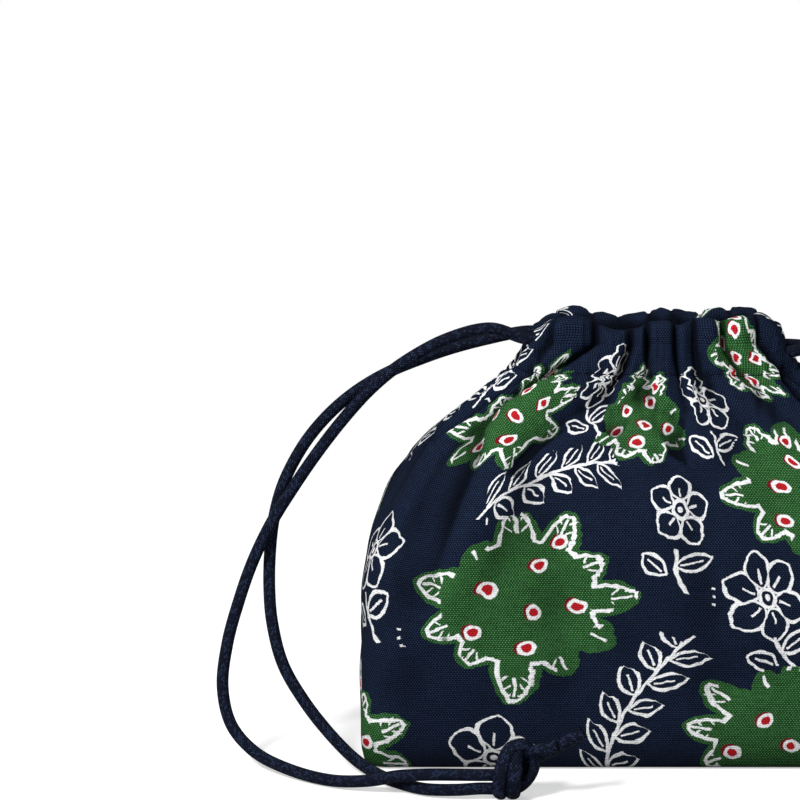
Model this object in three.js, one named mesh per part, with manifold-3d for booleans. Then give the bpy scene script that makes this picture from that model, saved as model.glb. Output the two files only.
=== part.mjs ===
// Drawstring pouch of printed cotton canvas, standing on its flat bottom, drawn shut.
// Millimetres, +Z up, front towards -Y, origin at the middle of the bottom.

import * as THREE from 'three';
import { mergeVertices } from 'three/addons/utils/BufferGeometryUtils.js';
import Module from 'manifold-3d';

const wasm = await Module();
wasm.setup();

// Cloth body
const BODY_WIDTH = 195.6;
const BASE_DEPTH = 82;
const BELLY_DEPTH = 90;
const BODY_HEIGHT = 146;
const CORNER_RADIUS = 24;
const BASE_CORNER_RADIUS = 8;
const BOTTOM_ROUNDING = 2;
const CLOTH_THICKNESS = 1.5;

// Gathered casing and the slit of the mouth between its two halves
const MOUTH_WIDTH = 79;
const MOUTH_GAP = 5.4;
const CASING_HEIGHT = 20;
const CASING_WALL = 0.85;
const EAR_SLIT_WIDTH = 2;
const EAR_SLIT_LENGTH = 11;
const NOTCH_DEPTH = 2.5;
const NOTCH_WIDTH = 3;

// Drawstrings
const CORD_DIAMETER = 4;
const CORD_CLEARANCE = 0.35;
const CORD_LEVEL_STEP = 4.4;
const CORD_LEVEL_DROP = 0.8;
const BORE_END_LENGTH = 11;
const JOINT_GAP = 0.3;
const LOOP_INSET = 10.5;
const STRAIGHT_EXIT = 5;
const KNOT_LEAD = 3;

// Side label
const LABEL_REACH = 8;
const LABEL_HEIGHT = 15;
const LABEL_THICKNESS = 0.9;
const LABEL_LEVEL = 76;
const LABEL_EDGE_BEVEL = 0.25;
const LABEL_ROWS = [-0.5, -0.17, 0.17, 0.5];

// Mesh fineness
const COLUMNS = 120;
const CORD_SIDES = 8;
const HIDDEN_STEPS = 32;
const STRAND_STEPS = 30;
const KNOT_STEPS = 30;

const tubeDepth = CORD_DIAMETER + 2 * CORD_CLEARANCE + 2 * CASING_WALL;
const halfMouthDepth = MOUTH_GAP / 2 + tubeDepth;
const halfMouthWidth = MOUTH_WIDTH / 2;
const casingMiddle = BODY_HEIGHT - CASING_HEIGHT / 2;
const casingBottom = BODY_HEIGHT - CASING_HEIGHT;
const cordOffset = MOUTH_GAP / 2 + tubeDepth / 2;
const earX = halfMouthWidth - 1;

// Body profile from the floor to the middle of the casing: share of that height, then share of the way
// out from the mouth's half width or half depth to the body's.
const WIDTH_PROFILE = [
  [0, 1], [0.2, 1.0], [0.36, 0.995], [0.49, 0.955], [0.6, 0.865], [0.69, 0.735], [0.77, 0.555],
  [0.85, 0.315], [0.92, 0.12], [1, 0],
];
const DEPTH_PROFILE = [
  [0.15, 0.965], [0.33, 1], [0.49, 0.97], [0.6, 0.88], [0.69, 0.74], [0.77, 0.55], [0.85, 0.3],
  [0.92, 0.11], [1, 0],
];
const MOUTH_MIX_START = 0.42;

// Top edge of the casing: place across the mouth, then how far the edge dips there
const FRONT_RIM = [
  [-39, 5], [-34, 1.2], [-29, 0], [-24, 0.6], [-19, 3.4], [-13, 5], [-6.5, 4.2], [-2, 1.9], [3, 1.9],
  [6.4, 3.2], [9, 2.4], [12.5, 0.8], [16, 0.6], [20, 1.9], [24, 0.8], [28, 0], [33, 0], [36, 1.6], [39, 4.6],
];
const BACK_RIM = [
  [-39, 5], [-33, 1.2], [-26, 0.2], [-20, 1.6], [-14, 2.4], [-8, 3], [-2, 1.2], [5, 0.4], [11, 2.2],
  [18, 1], [26, 0.2], [33, 0.8], [39, 4.6],
];

// Rolls of gathered cloth. Each path runs down from the mouth: distance from the middle of the front or
// back, measured along the cloth, and height. Rise and the two side radii go from the first value at the
// mouth to the second at the end.
const FRONT_ROLLS = [
  { path: [[-38, 148], [-38.5, 136], [-44, 129], [-56, 121.5], [-68, 114], [-80, 105]],
    rise: [5.5, 1.2], left: [2.6, 8], right: [2.4, 6] },
  { path: [[-20.5, 148], [-21.5, 141], [-31, 135], [-44, 127], [-57, 119], [-69, 111.5], [-79, 103.5],
    [-86, 95], [-91, 84]],
    rise: [5.5, 1], left: [2.4, 12], right: [2.4, 9] },
  { path: [[-12, 148], [-12.5, 140], [-17.5, 131.5], [-33, 121.5], [-47, 112.5], [-54, 104.5],
    [-61, 90.5], [-66, 77], [-70, 66]],
    rise: [6, 2.4], left: [2.2, 11], right: [2.6, 26] },
  { path: [[-6, 140], [-9, 127], [-12, 120], [-15, 113]], rise: [4.6, 2.2], left: [2, 6], right: [2, 6] },
  { path: [[-48, 99], [-31, 109], [-13, 112.5], [1, 110.5], [14, 105]], rise: [1, 2.6], left: [7, 9],
    right: [7, 9] },
  { path: [[-1, 148], [0.8, 131.5], [2, 120], [4, 111], [7, 99]], rise: [5.6, 0.4], left: [2.6, 9],
    right: [2.6, 9] },
  { path: [[7.9, 148], [8, 131.5], [10, 121.5], [12, 115]], rise: [4.8, 0.4], left: [1.5, 3],
    right: [1.5, 3] },
  { path: [[14, 148], [15.5, 139], [18, 130], [22.5, 123], [28, 116.5], [37, 107]], rise: [6.2, 0.8],
    left: [1.8, 5], right: [2, 8] },
  { path: [[22, 148], [24, 139], [29, 131.5], [35.5, 125.5], [43, 119.5], [55, 110]], rise: [5.4, 0.8],
    left: [2.2, 8], right: [2.2, 10] },
  { path: [[34, 148], [35.5, 141], [39, 136], [43, 131], [51, 124.5], [63, 116.5], [78, 105]],
    rise: [5.8, 1.2], left: [2.4, 8], right: [2.6, 8] },
  { path: [[44, 126], [54, 117], [66, 107], [74, 96], [79, 82]], rise: [2.6, 1.2], left: [5, 20],
    right: [4, 9] },
];
const BACK_ROLLS = [
  { path: [[-37, 148], [-39, 136], [-46, 128.5], [-58, 120], [-72, 109], [-84, 96]], rise: [5.6, 1],
    left: [2.6, 9], right: [2.4, 8] },
  { path: [[-27, 148], [-28, 139], [-36, 129], [-47, 119], [-56, 107], [-62, 92]], rise: [5.2, 1],
    left: [2.2, 7], right: [2.2, 16] },
  { path: [[-18, 148], [-19, 137], [-24, 126], [-31, 116], [-36, 104]], rise: [5.6, 0.5], left: [2.2, 7],
    right: [2.2, 9] },
  { path: [[-9.5, 148], [-10, 135], [-12, 123], [-13, 111], [-12, 97]], rise: [6, 0.5], left: [2.3, 8],
    right: [2.3, 8] },
  { path: [[-1.5, 148], [-1, 134], [0.5, 122], [3, 112]], rise: [5, 0.4], left: [1.9, 5], right: [1.9, 6] },
  { path: [[6.5, 148], [7.5, 135], [11, 123], [17, 111], [24, 98]], rise: [5.9, 0.8], left: [2.2, 9],
    right: [2.2, 9] },
  { path: [[15.5, 148], [17, 137], [23, 126], [31, 118]], rise: [5.2, 0.4], left: [2.1, 6],
    right: [2.1, 6] },
  { path: [[25, 148], [27, 138], [35, 128], [46, 118], [57, 106], [63, 90]], rise: [5.7, 1.2],
    left: [2.4, 16], right: [2.3, 7] },
  { path: [[36.5, 148], [38.5, 136], [46, 128], [60, 119], [74, 108], [86, 94]], rise: [5.6, 1],
    left: [2.4, 8], right: [2.6, 9] },
];

// Creases pressed into the cloth: a path in the same measure, with depth and half width
const FRONT_CREASES = [
  { path: [[-62, 103], [-69, 91], [-74, 78], [-78, 66]], depth: 2.4, width: 6.5 },
  { path: [[-8, 117], [-3, 114.5], [2, 112.5]], depth: 2, width: 5 },
  { path: [[-47, 106], [-35, 113], [-18, 117]], depth: 1.6, width: 5 },
  { path: [[7, 90], [4.5, 84], [2.5, 75], [5.5, 69], [12, 67]], depth: 1.8, width: 4 },
];
const BACK_CREASES = [
  { path: [[48, 104], [52, 90], [50, 78]], depth: 2, width: 6 },
  { path: [[-20, 84], [-8, 78], [6, 80]], depth: 1.6, width: 5 },
];
const ROLL_SHARPNESS = 1.6;
// Valley pressed in where two rolls meet, how fast it ends to the sides, the lowest it may go, how high the
// lower roll has to stand for the full depth, and the distances from the seam between which it starts
const VALLEY_DEPTH = 4.2;
const VALLEY_TIGHTNESS = 0.3;
const VALLEY_FLOOR = -0.3;
const VALLEY_FULL_RISE = 1.6;
const VALLEY_END = [6, 12];
// The top edge dips in the valleys, down from folds that stand out this far
const RIM_VALLEY_DIP = 1.8;
const RIM_FULL_FOLD = 4;
// Cloth lies calm beside the seams. The notch at the seams and the casing's double cloth start this far
// below the casing. Steep cloth is measured across at most this many times thicker.
const CALM_REACH = 1.6 * NOTCH_WIDTH;
const NOTCH_START = 0.8 * CASING_HEIGHT;
const TUBE_START = 0.35 * CASING_HEIGHT;
const STEEPEST_CLOTH = 2.2;

// Free strands of the drawstrings, from the ear to the knot. The first point is set by the ear.
const LEFT_FRONT_ROUTE = [
  [-55, -7, 141], [-69, -8.5, 138], [-83.5, -10.5, 130.5], [-94, -13, 122.5], [-103.5, -15.8, 112.5],
  [-112.6, -18.3, 101], [-121, -21.2, 89], [-127.6, -23.6, 78.5], [-133.4, -25.6, 66.5], [-138, -27, 53.5],
  [-141.8, -28.5, 39.5], [-143.4, -30, 25], [-140.6, -33.5, 13.5], [-133.2, -39.5, 6.2], [-121.6, -49, 2.8],
  [-107, -60, 2.2], [-94.4, -66, 4], [-85.6, -69, 6.4], [-76.3, -71.5, 7.6], [-66.7, -72.6, 7.9],
];
const LEFT_BACK_ROUTE = [
  [-56.5, 5, 135], [-68, 2, 132.5], [-78, -2, 129.8], [-89, -6, 126], [-98.2, -8, 121], [-106.7, -10, 114.5],
  [-114.2, -12, 106.5], [-119.8, -13.6, 98], [-124, -15.5, 89], [-126.6, -17.8, 79], [-127.8, -20.5, 68.5],
  [-128, -24, 57], [-127, -28, 46.5], [-123.5, -31.5, 33.5], [-116.8, -35, 22.3], [-108.4, -39, 12.2],
  [-100, -44.5, 5], [-92.6, -53, 2.4], [-85, -63, 2.2], [-77, -69.5, 2.2], [-67, -72.4, 2.8],
];
const RIGHT_FRONT_ROUTE = [
  [56, -7, 136], [70, -9, 135], [84.5, -11.5, 130], [99, -14, 120.5], [112, -16.5, 107.5], [123, -19, 92],
  [131.5, -21, 75], [138, -22.5, 57.5], [142, -24.5, 40], [143, -28, 24.5], [140.5, -34, 12],
  [135, -43, 4.8], [127, -54.5, 2.4], [117.5, -66, 3], [108.5, -75, 5.2], [99, -82, 7.2], [90, -86.5, 7.9],
];
const RIGHT_BACK_ROUTE = [
  [56, 5.5, 132], [68.5, 3.5, 130], [81.5, 0.5, 126], [94, -3, 119], [105.5, -6.5, 109.5], [115, -9.5, 97.5],
  [122.5, -12.5, 84], [127.5, -15.5, 69.5], [130.5, -18.5, 55], [131.5, -22, 40.5], [130, -26, 27],
  [126, -31, 15], [119.5, -38, 6.3], [112, -48, 2.4], [106, -60, 2.2], [100, -73, 2.2], [91, -84.5, 2.7],
];
const LEFT_KNOT_PLACE = [-47.5, -73, 5.6];
const RIGHT_KNOT_PLACE = [72, -88.5, 5.6];

// Overhand knot of the doubled cord, about its own middle, for cords that come in from the left
const KNOT_LONG_STRAND = [
  [-8.5, 0.3, 2.25], [-6.5, 0.4, 2.25], [-3.4, 1.8, 2.3], [0.2, 3, 2.2], [3.6, 3.4, 4.2],
  [4.9, 3.2, 8], [3.4, 2.2, 11.6], [0.9, -0.6, 12.7], [-0.5, -3.6, 10.6], [-0.7, -5, 6],
  [-1.3, -5.1, 0.8], [-1.4, -2.8, -3.2],
  [-1, 1.6, -3.3], [-0.4, 5.6, -0.8], [0.2, 7, 3.6], [1.8, 4.6, 6.9], [5, 0.6, 7.8], [9, -1, 9.8],
  [15, -1.6, 13.4], [21, -2, 17],
];
const KNOT_SHORT_STRAND = [
  [-8.5, 0.3, -2.25], [-6.5, 0.3, -2.25], [-3.4, 0, -2.2], [0.2, -0.4, -1.7], [3.6, -0.8, 1.2],
  [5.6, -1, 5.2], [5.2, -1.4, 9.6], [2.4, -2.2, 12.9], [-1.7, -3.4, 12.6], [-4.5, -4.6, 8],
  [-5.7, -4.8, 2.4], [-5.8, -3, -2.9],
  [-5.2, 1.4, -3.3], [-4.4, 5.2, -0.6], [-3.4, 6.2, 4.2], [-0.6, 3.8, 8.2], [3.2, -1.4, 10.4],
  [7.6, -4, 11.9], [12.6, -4.6, 13.5],
];

// Smooth curve through the profile's points, without overshoot
function profileValue(points, at) {
  const last = points.length - 1;
  if (at <= points[0][0]) return points[0][1];
  if (at >= points[last][0]) return points[last][1];
  const slopes = [];
  for (let i = 0; i < last; i++) {
    slopes.push((points[i + 1][1] - points[i][1]) / (points[i + 1][0] - points[i][0]));
  }
  const tangent = (i) => {
    if (i === 0) return slopes[0];
    if (i === last) return slopes[last - 1];
    if (slopes[i - 1] * slopes[i] <= 0) return 0;
    return 2 * slopes[i - 1] * slopes[i] / (slopes[i - 1] + slopes[i]);
  };
  let k = 0;
  while (at > points[k + 1][0]) k++;
  const span = points[k + 1][0] - points[k][0];
  const t = (at - points[k][0]) / span;
  const rest = 1 - t;
  return points[k][1] * (1 + 2 * t) * rest * rest
    + points[k + 1][1] * (3 - 2 * t) * t * t
    + span * (tangent(k) * t * rest * rest - tangent(k + 1) * t * t * rest);
}

const smoothstep = (from, to, at) => THREE.MathUtils.smoothstep(at, from, to);

function halfWidth(z) {
  const share = profileValue(WIDTH_PROFILE, z / casingMiddle);
  return halfMouthWidth + (BODY_WIDTH / 2 - halfMouthWidth) * share;
}

function halfDepth(z) {
  const foot = (BASE_DEPTH / 2 - halfMouthDepth) / (BELLY_DEPTH / 2 - halfMouthDepth);
  const share = profileValue([[0, foot], ...DEPTH_PROFILE], z / casingMiddle);
  return halfMouthDepth + (BELLY_DEPTH / 2 - halfMouthDepth) * share;
}

// Quarter of a rounded rectangle, from the middle of the side to the middle of the front
function rectanglePoint(share, a, b, radius) {
  const side = b - radius;
  const arc = Math.PI * radius / 2;
  const run = share * (side + arc + a - radius);
  if (run < side) return [a, run];
  if (run < side + arc) {
    const turn = (run - side) / radius;
    return [a - radius + radius * Math.cos(turn), side + radius * Math.sin(turn)];
  }
  return [a - radius - (run - side - arc), b];
}

// Quarter of a slot with round ends
function slotPoint(share, a, b) {
  return rectanglePoint(share, a, b, Math.min(a, b));
}

// Point of the plain body, without folds, at a column and a height
function bodyPoint(column, z) {
  const quarter = COLUMNS / 4;
  const wrapped = (column + COLUMNS) % COLUMNS;
  const corner = Math.floor(wrapped / quarter);
  const along = (wrapped - corner * quarter) / quarter;
  const share = corner % 2 === 0 ? along : 1 - along;
  const a = halfWidth(z);
  const b = halfDepth(z);
  const upBody = smoothstep(0, MOUTH_MIX_START, z / casingMiddle);
  const cornerRadius = THREE.MathUtils.lerp(BASE_CORNER_RADIUS, CORNER_RADIUS, upBody);
  const square = rectanglePoint(share, a, b, Math.min(cornerRadius, b));
  const round = slotPoint(share, a, b);
  const mix = smoothstep(MOUTH_MIX_START, 1, z / casingMiddle);
  const x = square[0] + (round[0] - square[0]) * mix;
  const y = square[1] + (round[1] - square[1]) * mix;
  const sideX = corner === 0 || corner === 3 ? -1 : 1;
  const sideY = corner < 2 ? -1 : 1;
  return new THREE.Vector3(sideX * x, sideY * y, z);
}

function bodyNormal(column, z) {
  const around = bodyPoint(column + 1, z).sub(bodyPoint(column - 1, z));
  const top = Math.min(z + 1, casingMiddle + 1);
  const up = bodyPoint(column, top).sub(bodyPoint(column, top - 2));
  return around.cross(up).normalize();
}

// Distance along the cloth from the first column to each column at one height
function clothRuler(z) {
  const ruler = [0];
  for (let i = 1; i <= COLUMNS; i++) {
    ruler.push(ruler[i - 1] + bodyPoint(i, z).distanceTo(bodyPoint(i - 1, z)));
  }
  return ruler;
}

// Nearest place on a path: share of the way along, signed distance, and distance
function nearestOnPath(path, s, z) {
  let best = { share: 0, side: 1, distance: Infinity };
  for (let i = 0; i < path.length - 1; i++) {
    const ds = path[i + 1][0] - path[i][0];
    const dz = path[i + 1][1] - path[i][1];
    const along = ((s - path[i][0]) * ds + (z - path[i][1]) * dz) / (ds * ds + dz * dz);
    const t = THREE.MathUtils.clamp(along, 0, 1);
    const offS = s - path[i][0] - t * ds;
    const offZ = z - path[i][1] - t * dz;
    const distance = Math.hypot(offS, offZ);
    if (distance < best.distance) {
      best = { share: (i + t) / (path.length - 1), side: offS * -dz + offZ * ds, distance };
    }
  }
  return best;
}

function rollHeight(rolls, s, z, seam) {
  let sum = 1;
  let highest = 0;
  let second = 0;
  for (const roll of rolls) {
    const near = nearestOnPath(roll.path, s, z);
    const sideRadii = near.side < 0 ? roll.left : roll.right;
    const radius = THREE.MathUtils.lerp(sideRadii[0], sideRadii[1], near.share);
    const rise = THREE.MathUtils.lerp(roll.rise[0], roll.rise[1], near.share);
    const height = rise - near.distance * near.distance / (2 * radius);
    sum += Math.exp(ROLL_SHARPNESS * height);
    second = Math.max(second, Math.min(height, highest));
    highest = Math.max(highest, height);
  }
  const valley = VALLEY_DEPTH * Math.exp(-VALLEY_TIGHTNESS * (highest - second))
    * smoothstep(0, VALLEY_FULL_RISE, second);
  return Math.log(sum) / ROLL_SHARPNESS - valley * smoothstep(VALLEY_END[0], VALLEY_END[1], seam);
}

function creaseDepth(creases, s, z) {
  let depth = 0;
  for (const crease of creases) {
    const near = nearestOnPath(crease.path, s, z);
    depth += crease.depth * Math.exp(-((near.distance / crease.width) ** 2));
  }
  return depth;
}

// How far the folded cloth stands out of the plain body
function foldHeight(ruler, column, z) {
  const half = COLUMNS / 2;
  const front = column <= half;
  const middle = front ? ruler[COLUMNS / 4] : ruler[COLUMNS * 3 / 4];
  const s = ruler[column] - middle;
  const start = front ? ruler[0] : ruler[half];
  const end = front ? ruler[half] : ruler[COLUMNS];
  const seam = Math.min(ruler[column] - start, end - ruler[column]);
  const rolls = rollHeight(front ? FRONT_ROLLS : BACK_ROLLS, s, z, seam);
  const creases = creaseDepth(front ? FRONT_CREASES : BACK_CREASES, s, z);
  const calm = smoothstep(0, CALM_REACH, seam);
  const notch = NOTCH_DEPTH * Math.exp(-((seam / NOTCH_WIDTH) ** 2))
    * smoothstep(casingBottom - NOTCH_START, casingBottom, z);
  return Math.max(rolls - creases, VALLEY_FLOOR) * calm - notch;
}

// Rings of the shell. Outer side: share of the height up to the casing's middle.
const OUTER_SHARES = [0.06, 0.14, 0.26, 0.37, 0.46, 0.54, 0.605, 0.66, 0.705, 0.745, 0.78, 0.812, 0.842,
  0.872, 0.902, 0.935, 0.967, 1];
// Over the casing: share of the rise, share of the way across the tube, share of the folds
const TOP_ARC = [[0.45, 0.03, 1], [0.8, 0.14, 0.95], [0.97, 0.34, 0.8], [1, 0.56, 0.5],
  [0.86, 0.84, 0.2], [0.5, 1, 0]];
// Inner side, down to the inside of the bottom
const INNER_SHARES = [0.99, 0.95, 0.915, 0.872, 0.827, 0.78, 0.725, 0.66, 0.56, 0.42, 0.26, 0.1];

function shellRing(z, inset, foldShare, rise) {
  const ruler = clothRuler(z);
  const ring = [];
  for (let i = 0; i < COLUMNS; i++) {
    const normal = bodyNormal(i, z);
    const point = bodyPoint(i, z);
    const fold = foldHeight(ruler, i, z) * foldShare;
    point.addScaledVector(normal, fold - inset(ruler, i, z));
    const rim = profileValue(i <= COLUMNS / 2 ? FRONT_RIM : BACK_RIM, point.x);
    const dip = rim + RIM_VALLEY_DIP * foldShare * smoothstep(0, RIM_FULL_FOLD, RIM_FULL_FOLD - fold);
    point.z = z + rise * (1 - dip / (BODY_HEIGHT - casingMiddle));
    ring.push(point);
  }
  return ring;
}

// Cloth is thicker across where a fold is steep, so that its own thickness stays the same
function clothInset(ruler, column, z) {
  const next = Math.min(column + 1, COLUMNS);
  const before = Math.max(column - 1, 0);
  const run = ruler[next] - ruler[before];
  const slope = (foldHeight(ruler, next, z) - foldHeight(ruler, before, z)) / run;
  return CLOTH_THICKNESS * Math.min(Math.sqrt(1 + slope * slope), STEEPEST_CLOTH);
}

function footRing(z, inset) {
  const ring = [];
  for (let i = 0; i < COLUMNS; i++) {
    const point = bodyPoint(i, z);
    const normal = bodyNormal(i, z).setZ(0).normalize();
    ring.push(point.addScaledVector(normal, -inset));
  }
  return ring;
}

function shellRings() {
  const rings = [footRing(0, BOTTOM_ROUNDING), footRing(BOTTOM_ROUNDING * 0.3, BOTTOM_ROUNDING * 0.3)];
  for (const share of OUTER_SHARES) {
    rings.push(shellRing(share * casingMiddle, () => 0, 1, 0));
  }
  for (const [riseShare, across, foldShare] of TOP_ARC) {
    const rise = riseShare * (BODY_HEIGHT - casingMiddle);
    rings.push(shellRing(casingMiddle, () => across * tubeDepth, foldShare, rise));
  }
  for (const share of INNER_SHARES) {
    const z = share * casingMiddle;
    const inTube = smoothstep(casingBottom - TUBE_START, casingBottom, z);
    const inset = (ruler, i) => THREE.MathUtils.lerp(clothInset(ruler, i, z), tubeDepth, inTube);
    rings.push(shellRing(z, inset, 1 - inTube, 0));
  }
  rings.push(footRing(CLOTH_THICKNESS, BOTTOM_ROUNDING + CLOTH_THICKNESS));
  return rings;
}

// Closed solid out of rings that run up the outside, over the top and down the inside
function solidFromRings(rings) {
  const vertices = [];
  const triangles = [];
  for (const ring of rings) {
    for (const point of ring) vertices.push(point.x, point.y, point.z);
  }
  const outerMiddle = rings.length * COLUMNS;
  vertices.push(0, 0, rings[0][0].z);
  vertices.push(0, 0, rings[rings.length - 1][0].z);
  const lastRing = (rings.length - 1) * COLUMNS;
  for (let i = 0; i < COLUMNS; i++) {
    const next = (i + 1) % COLUMNS;
    triangles.push(outerMiddle, next, i);
    triangles.push(outerMiddle + 1, lastRing + i, lastRing + next);
    for (let k = 0; k < rings.length - 1; k++) {
      const low = k * COLUMNS;
      const high = low + COLUMNS;
      triangles.push(low + i, low + next, high + next);
      triangles.push(low + i, high + next, high + i);
    }
  }
  return new wasm.Manifold(new wasm.Mesh({
    numProp: 3,
    vertProperties: new Float32Array(vertices),
    triVerts: new Uint32Array(triangles),
  }));
}

function solidFromGeometry(geometry) {
  const plain = geometry.clone();
  plain.deleteAttribute('normal');
  plain.deleteAttribute('uv');
  const merged = mergeVertices(plain, 1e-4);
  return new wasm.Manifold(new wasm.Mesh({
    numProp: 3,
    vertProperties: new Float32Array(merged.attributes.position.array),
    triVerts: new Uint32Array(merged.index.array),
  }));
}

function geometryFromSolid(solid) {
  const mesh = solid.getMesh();
  const geometry = new THREE.BufferGeometry();
  geometry.setAttribute('position', new THREE.BufferAttribute(new Float32Array(mesh.vertProperties), 3));
  geometry.setIndex(new THREE.BufferAttribute(new Uint32Array(mesh.triVerts), 1));
  geometry.computeVertexNormals();
  return geometry;
}

// Round tube along points
function cordTube(points, diameter, steps) {
  const curve = new THREE.CatmullRomCurve3(points.map((p) => new THREE.Vector3(...p)));
  const section = new THREE.Shape();
  section.absarc(0, 0, diameter / 2, 0, Math.PI * 2, false);
  return new THREE.ExtrudeGeometry(new THREE.Shape(section.getSpacedPoints(CORD_SIDES).slice(0, -1)), {
    extrudePath: curve,
    steps,
    bevelEnabled: false,
  });
}

// Loop of a drawstring inside the casing: in at one ear, round at the other, and back.
// toward is 1 when the cord turns back at the right ear.
function loopRoute(toward, level, endX) {
  const turnX = halfMouthWidth - LOOP_INSET;
  const points = [[-endX, -cordOffset], [-turnX * 0.5, -cordOffset], [turnX * 0.3, -cordOffset],
    [turnX * 0.8, -cordOffset]];
  for (let quarter = 0; quarter <= 4; quarter++) {
    const turn = -Math.PI / 2 + quarter * Math.PI / 4;
    points.push([turnX + cordOffset * Math.cos(turn), cordOffset * Math.sin(turn)]);
  }
  for (let i = 3; i >= 0; i--) points.push([points[i][0], cordOffset]);
  return points.map(([x, y]) => [toward * x, y, level]);
}

const leftCordLevel = casingMiddle - CORD_LEVEL_DROP + CORD_LEVEL_STEP / 2;
const rightCordLevel = casingMiddle - CORD_LEVEL_DROP - CORD_LEVEL_STEP / 2;

function makeBodySolid() {
  let solid = solidFromRings(shellRings());
  const boreDiameter = CORD_DIAMETER + 2 * CORD_CLEARANCE;
  for (const [toward, level] of [[1, leftCordLevel], [-1, rightCordLevel]]) {
    const bore = cordTube(loopRoute(toward, level, earX), boreDiameter, HIDDEN_STEPS);
    solid = solid.subtract(solidFromGeometry(bore));
    for (const side of [-1, 1]) {
      const end = new THREE.CylinderGeometry(boreDiameter / 2, boreDiameter / 2, BORE_END_LENGTH,
        CORD_SIDES * 2);
      end.rotateZ(Math.PI / 2);
      end.translate(-toward * (earX - 1 + BORE_END_LENGTH / 2), side * cordOffset, level);
      solid = solid.subtract(solidFromGeometry(end));
    }
  }
  for (const side of [-1, 1]) {
    const slit = new THREE.BoxGeometry(EAR_SLIT_LENGTH * 2, EAR_SLIT_WIDTH, CASING_HEIGHT * 2);
    slit.translate(side * halfMouthWidth, 0, casingBottom + CORD_CLEARANCE + CASING_HEIGHT);
    solid = solid.subtract(solidFromGeometry(slit));
  }
  return solid;
}

const canvas = new THREE.MeshStandardMaterial({ color: 0x1d2a42, roughness: 0.9, metalness: 0 });
const cordFinish = new THREE.MeshStandardMaterial({ color: 0x141d33, roughness: 0.55, metalness: 0 });
const labelTape = new THREE.MeshStandardMaterial({ color: 0xf2f1ec, roughness: 0.8, metalness: 0 });

const pouch = new THREE.Group();

function addPiece(name, geometry, material) {
  const mesh = new THREE.Mesh(geometry, material);
  mesh.name = name;
  pouch.add(mesh);
}

const bodySolid = makeBodySolid();
addPiece('pouch_body', geometryFromSolid(bodySolid), canvas);

// Strand of a knot. It touches itself, so its two halves are made apart and joined.
function knotStrand(points) {
  const curve = new THREE.CatmullRomCurve3(points.map((p) => new THREE.Vector3(...p)));
  const line = curve.getSpacedPoints(KNOT_STEPS).map((p) => p.toArray());
  const middle = KNOT_STEPS / 2;
  const firstHalf = cordTube(line.slice(0, middle + 1), CORD_DIAMETER, middle);
  const secondHalf = cordTube(line.slice(middle - 1), CORD_DIAMETER, middle + 1);
  return solidFromGeometry(firstHalf).add(solidFromGeometry(secondHalf));
}

// One drawstring: the loop in the casing, the two free strands and the knot
function addDrawstring(name, side, level, frontRoute, backRoute, place) {
  addPiece(`${name}_in_casing`, cordTube(loopRoute(-side, level, earX), CORD_DIAMETER, HIDDEN_STEPS),
    cordFinish);
  const startX = side * (earX + JOINT_GAP);
  const knotSide = -side;
  const inKnot = ([x, y, z]) => [place[0] + knotSide * x, place[1] + y, place[2] + z];
  const meet = ([x, y, z]) => [inKnot([x - JOINT_GAP - KNOT_LEAD, y, z]), inKnot([x - JOINT_GAP, y, z])];
  const clearX = startX + side * STRAIGHT_EXIT;
  const exit = (y) => [[startX, y, level], [clearX, y, level]];
  const front = [...exit(-cordOffset), ...frontRoute, ...meet(KNOT_LONG_STRAND[0])];
  const back = [...exit(cordOffset), ...backRoute, ...meet(KNOT_SHORT_STRAND[0])];
  addPiece(`${name}_front_strand`, cordTube(front, CORD_DIAMETER, STRAND_STEPS), cordFinish);
  addPiece(`${name}_back_strand`, cordTube(back, CORD_DIAMETER, STRAND_STEPS), cordFinish);
  const knot = knotStrand(KNOT_LONG_STRAND.map(inKnot)).add(knotStrand(KNOT_SHORT_STRAND.map(inKnot)));
  addPiece(`${name}_knot`, geometryFromSolid(knot), cordFinish);
}

addDrawstring('left_drawstring', -1, leftCordLevel, LEFT_FRONT_ROUTE, LEFT_BACK_ROUTE, LEFT_KNOT_PLACE);
addDrawstring('right_drawstring', 1, rightCordLevel, RIGHT_FRONT_ROUTE, RIGHT_BACK_ROUTE, RIGHT_KNOT_PLACE);

// Folded tape in the right side seam, its inner edge along the seam
function makeLabel() {
  const levels = LABEL_ROWS.map((share) => LABEL_LEVEL + share * LABEL_HEIGHT);
  const seamX = (z) => halfWidth(z) + JOINT_GAP + LABEL_EDGE_BEVEL;
  const outerX = seamX(levels[0]) + LABEL_REACH;
  const inner = levels.map((z) => new THREE.Vector2(seamX(z), z));
  const outer = [new THREE.Vector2(outerX, levels[3]), new THREE.Vector2(outerX, levels[0])];
  const outline = new THREE.Shape([...inner, ...outer]);
  const tape = new THREE.ExtrudeGeometry(outline, {
    depth: LABEL_THICKNESS - 2 * LABEL_EDGE_BEVEL,
    bevelThickness: LABEL_EDGE_BEVEL,
    bevelSize: LABEL_EDGE_BEVEL,
    bevelSegments: 1,
  });
  tape.translate(0, 0, -LABEL_THICKNESS / 2 + LABEL_EDGE_BEVEL);
  tape.rotateX(Math.PI / 2);
  return tape;
}

addPiece('side_label', makeLabel(), labelTape);

export default pouch;
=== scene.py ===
"""Printed canvas drawstring pouch, drawn shut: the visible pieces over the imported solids."""

import math

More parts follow.
